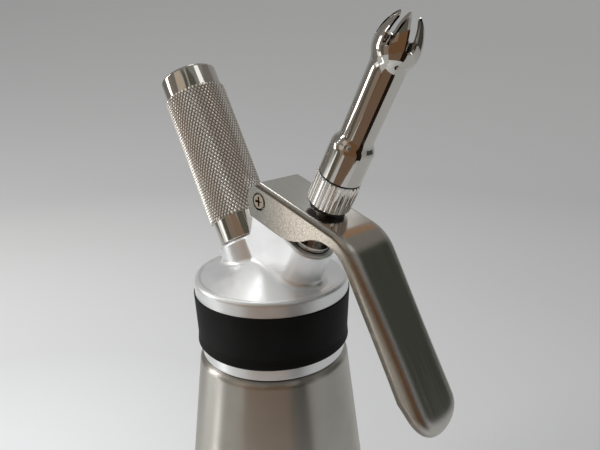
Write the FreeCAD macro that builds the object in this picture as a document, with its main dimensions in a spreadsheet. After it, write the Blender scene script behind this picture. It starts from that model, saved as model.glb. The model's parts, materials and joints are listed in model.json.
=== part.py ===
"""Whipped cream dispenser: a cone-necked steel bottle, a cast head with a charger port and a lever
valve, a knurled charger holder and a tulip nozzle. Millimetres, +Z up, origin at the middle of the
bottle's base, +X towards the lever. The port, the valve and the lever lie in the XZ plane."""
import FreeCAD, Part
import math
import os
import re

import Sketcher
from FreeCAD import Placement, Rotation, Vector

doc = FreeCAD.newDocument("CreamDispenser")

# --------------------------------------------------------------------------------------------
# Driving dimensions: cell name, value in mm or degrees, meaning
# --------------------------------------------------------------------------------------------
DIMENSIONS = [
    # bottle
    ("bottle_radius", 41.0, "outside radius of the straight stretch"),
    ("bottle_wall", 1.0, "sheet thickness of the wall"),
    ("base_thickness", 1.4, "thickness of the bottom"),
    ("base_corner", 7.0, "outside radius between wall and bottom"),
    ("base_groove_radius", 26.0, "middle radius of the shallow ring pressed into the bottom"),
    ("base_groove_width", 6.0, "width of that ring"),
    ("base_groove_depth", 0.5, "depth of that ring"),
    ("shoulder_height", 140.4, "height of the flat shoulder under the head"),
    ("shoulder_radius", 31.0, "radius of the cone, drawn on to the shoulder's height"),
    ("shoulder_round", 3.0, "radius between cone and shoulder"),
    ("cone_angle", 7.13, "angle of the cone to the vertical"),
    ("cone_blend", 14.0, "tangent length of the blend between straight wall and cone"),
    ("neck_radius", 25.6, "outside radius of the neck"),
    ("neck_rise", 22.6, "height of the neck's rim over the shoulder"),
    ("neck_fillet", 1.4, "radius between shoulder and neck"),
    ("neck_edge", 0.4, "chamfer of the neck's rim"),
    # head
    ("skirt_gap", 0.6, "gap between the bottle's shoulder and the skirt"),
    ("lip_height", 5.0, "height of the bare ring under the band"),
    ("lip_radius", 29.9, "outside radius of that ring"),
    ("lip_edge", 0.5, "radius of its lower edge"),
    ("band_height", 22.0, "height of the grip band"),
    ("band_seat_depth", 1.5, "depth of the band's groove"),
    ("band_top_radius", 32.0, "outside radius of the band at the top"),
    ("band_waist_radius", 31.25, "outside radius of the band at its waist"),
    ("band_waist_height", 4.5, "height of the waist over the band's lower edge"),
    ("band_bulge", 0.3, "swell of the band under its waist"),
    ("band_bulge_height", 0.8, "height of the swell over the band's lower edge"),
    ("band_play", 0.05, "clearance of the band in its groove"),
    ("rim_height", 6.0, "height of the rim over the band"),
    ("rim_radius", 31.55, "outside radius of the rim"),
    ("rim_round", 1.6, "radius of the rim's upper edge"),
    ("rim_land", 1.1, "width of the flat inside that edge"),
    ("rim_dip", 0.35, "depth of the dip inside the rim"),
    ("dome_rise", 7.9, "height of the dome over the rim"),
    ("dome_top_radius", 8.0, "radius at which the dome's slope ends"),
    ("dome_hollow", 90.0, "radius of the dome's hollow slope"),
    ("neck_play", 0.3, "clearance between skirt and neck"),
    ("gasket_thickness", 2.0, "thickness of the head gasket"),
    ("gasket_width", 4.2, "width of the head gasket"),
    ("recess_radius", 20.5, "radius of the recess under the dome"),
    ("recess_depth", 6.0, "depth of that recess over the gasket's seat"),
    ("recess_round", 3.0, "radius of the recess's upper corner"),
    ("body_half_width", 9.3, "half the thickness of the body and radius of the valve's boss"),
    ("crease_fillet", 2.6, "radius between dome, body and bosses"),
    ("web_crease", 2.0, "radius between the web and the two faces beside it"),
    ("body_edge", 1.2, "radius round the body's upper edges"),
    # axes
    ("axes_rise", 10.0, "height over the band of the point where both axes are placed"),
    ("valve_offset", 15.8, "distance of the valve's axis from the bottle's there"),
    ("valve_tilt", 27.8, "tilt of the valve's axis"),
    ("port_offset", 9.9, "distance of the port's axis from the bottle's there"),
    ("port_tilt", 29.4, "tilt of the port's axis"),
    # port
    ("port_radius", 13.3, "radius of the port's boss"),
    ("port_root", -2.0, "height at which the boss starts inside the dome"),
    ("port_face", 8.2, "height of the boss's face along the port's axis"),
    ("stub_radius", 9.9, "radius of the threaded stub on the boss"),
    ("stub_height", 9.6, "height of the stub over the face"),
    ("stub_edge", 0.8, "chamfer of the stub"),
    ("port_bore_radius", 5.0, "radius of the bore for the charger's neck"),
    ("port_bore_floor", 6.0, "height of the bore's floor along the axis"),
    ("gas_passage_radius", 1.5, "radius of the gas passage"),
    ("port_outlet", -10.5, "height of the passage's end along the axis"),
    ("port_outlet_radius", 5.0, "radius of the boss round that end"),
    # charger and its holder
    ("charger_radius", 9.0, "radius of the gas charger"),
    ("charger_length", 65.5, "length of the gas charger"),
    ("charger_neck_radius", 4.4, "radius of its neck"),
    ("charger_neck_length", 7.5, "length of its neck"),
    ("charger_shoulder", 9.0, "length of the shoulder between neck and body"),
    ("charger_wall", 1.2, "wall of the charger"),
    ("charger_end_round", 7.0, "radius of the charger's closed end"),
    ("charger_play", 0.25, "clearance round the charger"),
    ("cap_thickness", 0.6, "thickness of the crimped cap"),
    ("cap_hole_radius", 1.05, "radius of the hole pierced in the cap"),
    ("holder_gap", 0.6, "gap between the boss's face and the holder"),
    ("holder_end_wall", 3.45, "thickness of the holder's closed end"),
    ("holder_end_play", 0.05, "gap between that end and the charger"),
    ("holder_ring_radius", 12.0, "radius of its smooth ends"),
    ("holder_grip_radius", 13.0, "radius over the knurled grip"),
    ("holder_collar", 9.5, "length of the smooth lower end"),
    ("holder_crown", 9.0, "length of the smooth upper end"),
    ("holder_chamfer", 0.5, "height of the chamfers beside the grip"),
    ("holder_edge", 1.2, "radius of the holder's upper edge"),
    ("thread_play", 0.3, "clearance round a thread drawn plain"),
    ("thread_relief", 0.8, "clearance beyond a thread's end"),
    ("carrier_height", 6.2, "height of the pin carrier"),
    ("pin_radius", 0.9, "radius of the piercing pin"),
    ("pin_bore_radius", 0.4, "radius of the pin's bore"),
    ("pin_reach", 0.9, "reach of the pin's point through the cap"),
    ("pin_point", 1.5, "length of the pin's taper"),
    ("pin_point_radius", 0.55, "radius of the pin's point"),
    ("check_stem", 4.0, "length of the check valve's stem in the passage"),
    ("check_bore", 0.7, "radius of the check valve's bore"),
    ("check_flange_radius", 3.2, "radius of its flange"),
    ("check_flange", 1.2, "thickness of its flange"),
    ("check_bill", 3.4, "length of its bill"),
    ("charger_seal_thickness", 2.0, "thickness of the charger's seal"),
    # valve
    ("valve_root", -6.0, "height at which the boss starts inside the dome"),
    ("valve_boss_height", 16.3, "height of the boss along the valve's axis"),
    ("chamber_radius", 7.2, "radius of the spring chamber"),
    ("chamber_floor", 2.5, "height of the chamber's floor"),
    ("bush_radius", 5.0, "radius of the guide bush"),
    ("bush_floor", -4.0, "height of the bush's lower end"),
    ("bush_flange", 1.5, "thickness of the bush's flange"),
    ("seal_play", 0.05, "clearance round a rubber ring as drawn"),
    ("fit_play", 0.02, "clearance of a piece pressed into its bore"),
    ("flow_radius", 4.4, "radius of the cream's passage round the stem"),
    ("seat_height", -12.0, "height of the valve's seat along the axis"),
    ("seat_boss_radius", 7.0, "radius of the boss round the seat"),
    ("stem_radius", 3.0, "radius of the valve stem"),
    ("stem_bore_radius", 2.0, "radius of the stem's bore"),
    ("stem_top", 44.0, "height of the stem's end"),
    ("stem_play", 0.05, "running clearance round the stem"),
    ("stem_port_height", -8.4, "height of the stem's cross holes"),
    ("stem_port_radius", 1.2, "radius of the cross holes"),
    ("stem_port_count", 4.0, "cross holes round the stem"),
    ("poppet_radius", 5.8, "radius of the stem's foot"),
    ("poppet_thickness", 1.8, "thickness of the foot"),
    ("valve_seal_thickness", 1.6, "thickness of the valve seal"),
    ("seat_play", 0.03, "clearance between seal and seat as drawn"),
    ("disc_radius", 6.9, "radius of the collar's disc and flange"),
    ("disc_height", 16.6, "height of the disc's underside"),
    ("disc_thickness", 1.7, "thickness of the disc"),
    ("collar_waist_radius", 4.4, "radius of the collar's waist"),
    ("collar_flange", 1.3, "thickness of the collar's upper flange"),
    ("collar_edge", 0.4, "chamfer of that flange"),
    ("press_play", 0.05, "clearance between collar and lever as drawn"),
    ("spring_radius", 5.5, "middle radius of the return spring"),
    ("spring_wire", 0.55, "radius of its wire"),
    ("spring_turns", 5.0, "turns of the spring"),
    # adapter and nozzle
    ("adapter_base", 35.3, "height of the adapter's lower face"),
    ("adapter_height", 11.2, "height of the adapter's grip"),
    ("adapter_radius", 8.05, "radius over the adapter's ridges"),
    ("adapter_edge", 0.5, "chamfer of its edges"),
    ("adapter_hub_radius", 3.9, "radius of the hub that passes through the lever"),
    ("ridge_count", 30.0, "ridges round the adapter"),
    ("ridge_depth", 0.45, "depth of the flutes"),
    ("flute_radius", 0.65, "radius of the flutes"),
    ("washer_thickness", 1.4, "thickness of the washer under the adapter"),
    ("washer_radius", 6.9, "outside radius of that washer"),
    ("spigot_radius", 6.0, "radius of the adapter's threaded spigot"),
    ("spigot_height", 7.5, "height of the spigot"),
    ("outlet_radius", 2.6, "radius of the adapter's outlet"),
    ("adapter_seal_height", 40.2, "height of the seal on the stem's end"),
    ("adapter_seal_section", 0.6, "radius of that seal's section"),
    ("ring_gap", 0.8, "gap that the nozzle's ring fills"),
    ("nozzle_base_radius", 7.75, "radius of the nozzle's foot"),
    ("nozzle_foot_top", 58.0, "height at which the foot's shoulder starts"),
    ("nozzle_foot_top_radius", 7.6, "radius there"),
    ("nozzle_tube_start", 63.0, "height at which the tube starts"),
    ("nozzle_tube_radius", 5.9, "radius of the tube"),
    ("nozzle_tube_top", 86.5, "height at which the crown starts to widen"),
    ("nozzle_wall", 1.2, "wall of the nozzle"),
    ("crown_radius", 7.45, "largest radius of the crown"),
    ("crown_height", 93.2, "height of that radius"),
    ("tip_radius", 3.7, "radius at the petals' points"),
    ("tip_height", 103.0, "height of the points"),
    ("petal_count", 6.0, "petals of the crown"),
    ("slot_width", 3.2, "width of the slots between the petals"),
    ("slot_floor", 94.4, "height of the slots' floor"),
    ("slot_turn", 37.0, "turn of the first slot from the lever's plane"),
    # lever
    ("pivot_x", 6.5, "distance of the lever's pivot from the bottle's axis"),
    ("pivot_rise", 38.7, "height of the pivot over the band"),
    ("plate_angle", 17.0, "fall of the lever's plate to the horizontal"),
    ("plate_height", 6.9, "height of the plate's face over the pivot"),
    ("plate_length", 43.9, "length of the plate to the bend's corner"),
    ("plate_start", 2.0, "reach of the plate behind the pivot"),
    ("handle_angle", 59.7, "fall of the handle to the horizontal"),
    ("handle_length", 69.2, "length of the handle from the bend's corner"),
    ("bend_radius", 17.0, "outside radius of the bend"),
    ("lever_wall", 1.5, "thickness of the lever's sheet"),
    ("lever_half_width", 11.0, "half the lever's width over the pivot"),
    ("handle_half_width", 10.3, "half its width along the handle"),
    ("taper_start", 40.5, "distance of the taper's start from the pivot"),
    ("taper_length", 24.0, "length of the taper between the two widths"),
    ("lever_edge", 2.0, "radius of the lever's upper edges"),
    ("nose_radius", 6.0, "radius of the handle's nose"),
    ("cheek_depth", 14.3, "depth of the cheeks beside the pivot"),
    ("handle_depth", 7.5, "depth of the handle's sides"),
    ("cheek_radius", 6.4, "radius of the cheeks round the pivot"),
    ("cheek_back", 2.9, "reach of the cheeks' lower corner behind the pivot"),
    ("valley_radius", 22.0, "radius of the lower edge's valley"),
    ("hump_radius", 14.0, "radius of the lower edge's hump"),
    ("skirt_angle", 61.5, "fall of the handle's lower edge to the horizontal"),
    ("skirt_short", 7.7, "shortfall of that edge, up to the hump, against the handle's length"),
    ("nose_lift", 2.9, "rise of the sides' lower edge at the nose"),
    ("nose_run", 15.0, "length over which it rises"),
    ("stem_hole_radius", 5.1, "radius of the stem's hole in the plate"),
    ("stem_hole_shift", 0.75, "shift of that hole towards the pivot"),
    # pivot
    ("lug_radius", 4.9, "radius of the lug round the pivot"),
    ("screw_radius", 2.0, "radius of the pivot screw's shank"),
    ("screw_head_radius", 3.0, "radius of its head"),
    ("screw_edge", 0.3, "chamfer of its head"),
    ("screw_inset", 0.2, "inset of the head from the cheek's face"),
    ("cheek_hole_radius", 3.45, "radius of the hole in each cheek"),
    ("cheek_hole_shift", 0.4, "shift of that hole from the screw"),
    ("cross_width", 0.9, "width of the cross in the screw's head"),
    ("cross_length", 3.8, "length of the cross"),
    ("cross_depth", 1.1, "depth of the cross"),
    ("nut_slot_width", 1.0, "width of the nut's slot"),
    ("nut_slot_depth", 0.8, "depth of the nut's slot"),
]

sizes = doc.addObject("Spreadsheet::Sheet", "Sizes")
for row, (alias, number, meaning) in enumerate(DIMENSIONS, start=1):
    sizes.set(f"A{row}", meaning)
    sizes.set(f"B{row}", str(number))
    sizes.setAlias(f"B{row}", alias)
doc.recompute()

ALIASES = {alias for alias, _, _ in DIMENSIONS}


def formula(text):
    """An expression in which every cell name points at the sheet."""
    return re.sub(r"[a-z_]+", lambda word: f"Sizes.{word[0]}" if word[0] in ALIASES else word[0],
                  text)


def value(text):
    """The number that an expression gives now."""
    return float(sizes.evalExpression(formula(text)))


# Places that several pieces share, as expressions of the cells
SKIRT_BOTTOM = "(shoulder_height + skirt_gap)"
BAND_BOTTOM = f"({SKIRT_BOTTOM} + lip_height)"
BAND_TOP = f"({BAND_BOTTOM} + band_height)"
RIM_TOP = f"({BAND_TOP} + rim_height)"
SEAT_RADIUS = "(lip_radius - band_seat_depth)"
SKIRT_BORE = "(neck_radius + neck_play)"
NECK_TOP = "(shoulder_height + neck_rise)"
GASKET_SEAT = f"({NECK_TOP} + gasket_thickness)"
AXES_HEIGHT = f"({BAND_TOP} + axes_rise)"
PIVOT_HEIGHT = f"({BAND_TOP} + pivot_rise)"
HOLDER_BASE = "(port_face + holder_gap)"
CARRIER_TOP = "(port_bore_floor + carrier_height)"
CHARGER_TIP = f"({CARRIER_TOP} + charger_seal_thickness)"
CHARGER_END = f"({CHARGER_TIP} + charger_length)"
HOLDER_FLOOR = f"({CHARGER_END} + holder_end_play)"
HOLDER_TOP = f"({HOLDER_FLOOR} + holder_end_wall)"
STUB_TOP = "(port_face + stub_height)"
SEAL_TOP = "(seat_height - seat_play)"
FOOT_TOP = f"({SEAL_TOP} - valve_seal_thickness)"
STEM_SEAL = "((bush_radius - stem_radius) / 2 - seal_play)"
SEAL_LEDGE = f"(bush_floor - 2 * {STEM_SEAL} - 2 * seal_play)"
BUSH_TOP = "(chamber_floor + bush_flange)"
ADAPTER_TOP = "(adapter_base + adapter_height)"
NOZZLE_BASE = f"({ADAPTER_TOP} + ring_gap)"
WASHER_BASE = "(adapter_base - washer_thickness)"
PRESS_ANGLE = "(valve_tilt - plate_angle)"
PIVOT_ACROSS = "(valve_offset - pivot_x)"
PIVOT_DROP = "(pivot_rise - axes_rise)"
# height along the valve's axis at which the lever's plate would touch a flange of the disc's radius
PLATE_REACH = (f"(plate_height - lever_wall - {PIVOT_ACROSS} * sin(plate_angle)"
               f" + {PIVOT_DROP} * cos(plate_angle))")
COLLAR_TOP = (f"(({PLATE_REACH} - (disc_radius - collar_edge) * sin({PRESS_ANGLE}))"
              f" / cos({PRESS_ANGLE}) - press_play)")
SCREW_FACE = "(lever_half_width - screw_inset)"

# side of an arc's centre, seen along the outline
LEFT, RIGHT = 1.0, -1.0


# --------------------------------------------------------------------------------------------
# Sketches and features
# --------------------------------------------------------------------------------------------
def origin_feature(body, role):
    """One of the body's own origin planes or axes."""
    return next(item for item in body.Origin.OriginFeatures if item.Role == role)


def new_body(label, frame="upright"):
    """A body that stands upright, on the valve's axis, on the port's axis or at the pivot."""
    body = doc.addObject("PartDesign::Body", label)
    body.Label = label
    place(body, frame)
    return body


# across, height, side to which it leans and tilt of each of the dispenser's frames
FRAMES = {
    "upright": ("0", "0", 1, "0"),
    "valve": ("valve_offset", AXES_HEIGHT, 1, "valve_tilt"),
    "port": ("-port_offset", AXES_HEIGHT, -1, "port_tilt"),
    "pivot": ("pivot_x", PIVOT_HEIGHT, 1, "0"),
}


def place(body, frame):
    """Tie a body's placement to one of the dispenser's frames."""
    across, height, side, tilt = FRAMES[frame]
    body.Placement = Placement(Vector(0, 0, 0), Rotation(Vector(0, side, 0), value(tilt)))
    body.setExpression("Placement.Base.x", formula(across))
    body.setExpression("Placement.Base.z", formula(height))
    if tilt != "0":
        body.setExpression("Placement.Rotation.Angle", formula(tilt))


def new_sketch(body, name, role="XZ_Plane", frame="upright"):
    """An empty sketch on one of the body's origin planes, or in that plane on a tilted axis."""
    sketch = body.newObject("Sketcher::SketchObject", f"{body.Name}_{name}")
    sketch.AttachmentSupport = (origin_feature(body, role), [""])
    sketch.MapMode = "FlatFace"
    if frame != "upright":
        across, height, side, tilt = FRAMES[frame]
        shift(sketch, across, height, "0", Vector(0, 0, -side), tilt)
    return sketch


def shift(sketch, across, up, out, axis=Vector(0, 0, 1), turn="0"):
    """Move a sketch from its plane's origin by expressions, and turn it about an axis of its own."""
    sketch.AttachmentOffset = Placement(Vector(0, 0, 0), Rotation(axis, value(turn)))
    sketch.setExpression("AttachmentOffset.Base.x", formula(across))
    sketch.setExpression("AttachmentOffset.Base.y", formula(up))
    sketch.setExpression("AttachmentOffset.Base.z", formula(out))
    if turn != "0":
        sketch.setExpression("AttachmentOffset.Rotation.Angle", formula(turn))


def bind(sketch, kind, *target, to):
    """A constraint whose value follows an expression."""
    index = sketch.addConstraint(Sketcher.Constraint(kind, *target, value(to)))
    sketch.setExpression(f"Constraints[{index}]", formula(to))


def arc_between(start, end, radius, side):
    """The minor arc from start to end, and whether it keeps that direction as a circle does."""
    chord = end.sub(start)
    half = chord.Length / 2
    normal = Vector(-chord.y, chord.x, 0).normalize()
    centre = start.add(end).multiply(0.5).add(
        normal.multiply(side * math.sqrt(max(radius ** 2 - half ** 2, 0.0))))
    first, last = (start, end) if side == LEFT else (end, start)
    angles = [math.atan2(point.y - centre.y, point.x - centre.x) for point in (first, last)]
    circle = Part.Circle(centre, Vector(0, 0, 1), radius)
    return Part.ArcOfCircle(circle, angles[0], angles[1]), side == LEFT


def draw(sketch, outline):
    """Draw a closed outline. A corner is (across, up) or, where an arc leads on from it,
    (across, up, radius, side)."""
    points = [Vector(value(corner[0]), value(corner[1]), 0) for corner in outline]
    starts, ends = [], []
    for index, corner in enumerate(outline):
        start, end = points[index], points[(index + 1) % len(points)]
        forward = True
        if len(corner) == 4:
            piece, forward = arc_between(start, end, value(corner[2]), corner[3])
        else:
            piece = Part.LineSegment(start, end)
        number = sketch.addGeometry(piece, False)
        starts.append((number, 1 if forward else 2))
        ends.append((number, 2 if forward else 1))
    for index, corner in enumerate(outline):
        sketch.addConstraint(Sketcher.Constraint("Coincident", *ends[index - 1], *starts[index]))
        bind(sketch, "DistanceX", -1, 1, *starts[index], to=corner[0])
        bind(sketch, "DistanceY", -1, 1, *starts[index], to=corner[1])
        if len(corner) == 4:
            bind(sketch, "Radius", starts[index][0], to=corner[2])


def draw_circle(sketch, across, up, radius):
    """Draw a whole circle."""
    centre = Vector(value(across), value(up), 0)
    number = sketch.addGeometry(Part.Circle(centre, Vector(0, 0, 1), value(radius)), False)
    bind(sketch, "DistanceX", -1, 1, number, 3, to=across)
    bind(sketch, "DistanceY", -1, 1, number, 3, to=up)
    bind(sketch, "Radius", number, to=radius)


def turned(body, sketch, kind="PartDesign::Revolution"):
    """Turn a sketch about the body's own vertical axis, to add or to cut away."""
    name = f"{sketch.Name}_turned"
    feature = body.newObject(kind, name)
    feature.Profile = sketch
    feature.ReferenceAxis = (sketch, ["V_Axis"])
    feature.Angle = 360.0
    return feature


def turned_body(label, frame, outline):
    """A body turned from one closed outline."""
    body = new_body(label, frame)
    sketch = new_sketch(body, "outline")
    draw(sketch, outline)
    turned(body, sketch)
    return body


def ring(label, frame, middle_radius, section_radius, height):
    """A round ring, such as a rubber O-ring."""
    body = new_body(label, frame)
    sketch = new_sketch(body, "section")
    draw_circle(sketch, middle_radius, height, section_radius)
    turned(body, sketch)
    return body


def pad(body, sketch, length, midplane=False, reverse=False):
    """Pad a sketch by an expression."""
    feature = body.newObject("PartDesign::Pad", f"{sketch.Name}_pad")
    feature.Profile = sketch
    feature.Midplane = midplane
    feature.Reversed = reverse
    feature.setExpression("Length", formula(length))
    return feature


def pocket(body, sketch, length, midplane=False, reverse=False):
    """Cut a sketch into its body by an expression, and make sure that it cut something."""
    doc.recompute()
    before = body.Shape.Volume
    feature = body.newObject("PartDesign::Pocket", f"{sketch.Name}_cut")
    feature.Profile = sketch
    feature.Midplane = midplane
    feature.Reversed = reverse
    feature.setExpression("Length", formula(length))
    doc.recompute()
    if not body.Shape.Volume < before:
        raise RuntimeError(f"{feature.Name} cuts nothing")
    return feature


def repeated(body, feature, count):
    """Repeat a cut round the body's own vertical axis."""
    pattern = body.newObject("PartDesign::PolarPattern", f"{feature.Name}_pattern")
    pattern.Originals = [feature]
    pattern.Axis = (origin_feature(body, "Z_Axis"), [""])
    pattern.Angle = 360.0
    pattern.setExpression("Occurrences", formula(count))
    body.Tip = pattern
    return pattern


def joined(label, kind, *shapes):
    """A boolean of whole objects."""
    result = doc.addObject(kind, label)
    result.Label = label
    if kind == "Part::Cut":
        result.Base, result.Tool = shapes
    else:
        result.Shapes = list(shapes)
    doc.recompute()
    return result


# distance within which two places are one
TOUCH = 1e-4


def middle_of(edge):
    """The place half way along an edge."""
    return edge.valueAt((edge.FirstParameter + edge.LastParameter) / 2)


def column(bottom, top, radius, chamfer="0"):
    """The outline of a cylinder on the vertical axis, with a chamfer round its top."""
    outline = [("0", bottom), (radius, bottom)]
    if chamfer == "0":
        outline += [(radius, top)]
    else:
        outline += [(radius, f"{top} - {chamfer}"), (f"{radius} - {chamfer}", top)]
    return outline + [("0", top)]


def add_turned(body, name, frame, bottom, top, radius, chamfer="0"):
    """Add a cylinder on one of the dispenser's axes."""
    sketch = new_sketch(body, name, frame=frame)
    draw(sketch, column(bottom, top, radius, chamfer))
    turned(body, sketch)


def cut_turned(body, name, frame, bottom, top, radius):
    """Bore a hole on one of the dispenser's axes."""
    doc.recompute()
    before = body.Shape.Volume
    sketch = new_sketch(body, name, frame=frame)
    draw(sketch, column(bottom, top, radius))
    turned(body, sketch, "PartDesign::Groove")
    doc.recompute()
    if not body.Shape.Volume < before:
        raise RuntimeError(f"{sketch.Name} cuts nothing")


def rounded(body, radius, test):
    """Fillet the edges that pass a test."""
    doc.recompute()
    base = body.Tip
    names = [f"Edge{number}" for number, edge in enumerate(base.Shape.Edges, start=1) if test(edge)]
    if not names:
        raise RuntimeError(f"{body.Label} has no edge to round")
    feature = body.newObject("PartDesign::Fillet", f"{body.Name}_fillet{len(body.Group)}")
    feature.Base = (base, names)
    feature.setExpression("Radius", formula(radius))
    doc.recompute()
    return feature


def tangent_from(point, centre, radius, side):
    """The place where the line from a point touches a circle, as expressions. The side is the one
    of the line on which the circle's centre lies."""
    across, up = f"({centre[0]} - {point[0]})", f"({centre[1]} - {point[1]})"
    reach = f"sqrt({across} ^ 2 + {up} ^ 2)"
    sign = "-" if side == LEFT else "+"
    turn = f"(atan2({up}; {across}) {sign} asin({radius} / {reach}))"
    length = f"sqrt({across} ^ 2 + {up} ^ 2 - {radius} ^ 2)"
    return f"({point[0]} + {length} * cos({turn}))", f"({point[1]} + {length} * sin({turn}))"


def in_frame(frame, across, up):
    """The place in the XZ plane of a point given across and along one of the tilted axes."""
    offset, height, side, tilt = FRAMES[frame]
    lean = f"({side} * {tilt})"
    return (f"({offset} + ({across}) * cos({lean}) + ({up}) * sin({lean}))",
            f"({height} - ({across}) * sin({lean}) + ({up}) * cos({lean}))")


def along(frame_angle, forward, over):
    """A place given along a falling line and square over it, as expressions."""
    return (f"({forward} * cos({frame_angle}) + {over} * sin({frame_angle}))",
            f"({over} * cos({frame_angle}) - {forward} * sin({frame_angle}))")


def sway(step, rise):
    """The radius of two equal arcs that sway sideways by a step over a rise."""
    return f"((({step}) ^ 2 + ({rise}) ^ 2) / (4 * abs({step})))"


# --------------------------------------------------------------------------------------------
# Bottle
# --------------------------------------------------------------------------------------------
def bottle():
    """Deep-drawn bottle: a straight wall that bends into a cone, a round shoulder and a neck."""
    cone_foot = "(shoulder_height - (bottle_radius - shoulder_radius) / tan(cone_angle))"
    blend_radius = "(cone_blend / tan(cone_angle / 2))"
    blend_end = ("(bottle_radius - cone_blend * sin(cone_angle))",
                 f"({cone_foot} + cone_blend * cos(cone_angle))")
    round_reach = "(shoulder_round * tan(45 - cone_angle / 2))"
    round_start = (f"(shoulder_radius + {round_reach} * sin(cone_angle))",
                   f"(shoulder_height - {round_reach} * cos(cone_angle))")
    inward = ("bottle_wall * cos(cone_angle)", "bottle_wall * sin(cone_angle)")
    groove_in = "(base_groove_radius - base_groove_width / 2)"
    groove_out = "(base_groove_radius + base_groove_width / 2)"
    slope = "base_groove_width / 4"
    inner_corner = "(base_corner - bottle_wall)"
    return turned_body("bottle", "upright", [
        ("0", "0"),
        (groove_in, "0"),
        (f"{groove_in} + {slope}", "base_groove_depth"),
        (f"{groove_out} - {slope}", "base_groove_depth"),
        (groove_out, "0"),
        ("bottle_radius - base_corner", "0", "base_corner", LEFT),
        ("bottle_radius", "base_corner"),
        ("bottle_radius", f"{cone_foot} - cone_blend", blend_radius, LEFT),
        blend_end,
        (*round_start, "shoulder_round", LEFT),
        (f"shoulder_radius - {round_reach}", "shoulder_height"),
        ("neck_radius + neck_fillet", "shoulder_height", "neck_fillet", RIGHT),
        ("neck_radius", "shoulder_height + neck_fillet"),
        ("neck_radius", f"{NECK_TOP} - neck_edge"),
        ("neck_radius - neck_edge", NECK_TOP),
        ("neck_radius - bottle_wall", NECK_TOP),
        ("neck_radius - bottle_wall", "shoulder_height + neck_fillet",
         "neck_fillet + bottle_wall", LEFT),
        ("neck_radius + neck_fillet", "shoulder_height - bottle_wall"),
        (f"shoulder_radius - {round_reach}", "shoulder_height - bottle_wall",
         "shoulder_round - bottle_wall", RIGHT),
        (f"{round_start[0]} - {inward[0]}", f"{round_start[1]} - {inward[1]}"),
        (f"{blend_end[0]} - {inward[0]}", f"{blend_end[1]} - {inward[1]}",
         f"{blend_radius} - bottle_wall", RIGHT),
        ("bottle_radius - bottle_wall", f"{cone_foot} - cone_blend"),
        ("bottle_radius - bottle_wall", f"base_thickness + {inner_corner}", inner_corner, RIGHT),
        ("bottle_radius - base_corner", "base_thickness"),
        (groove_out, "base_thickness"),
        (f"{groove_out} - {slope}", "base_thickness + base_groove_depth"),
        (f"{groove_in} + {slope}", "base_thickness + base_groove_depth"),
        (groove_in, "base_thickness"),
        ("0", "base_thickness"),
    ])


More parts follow.
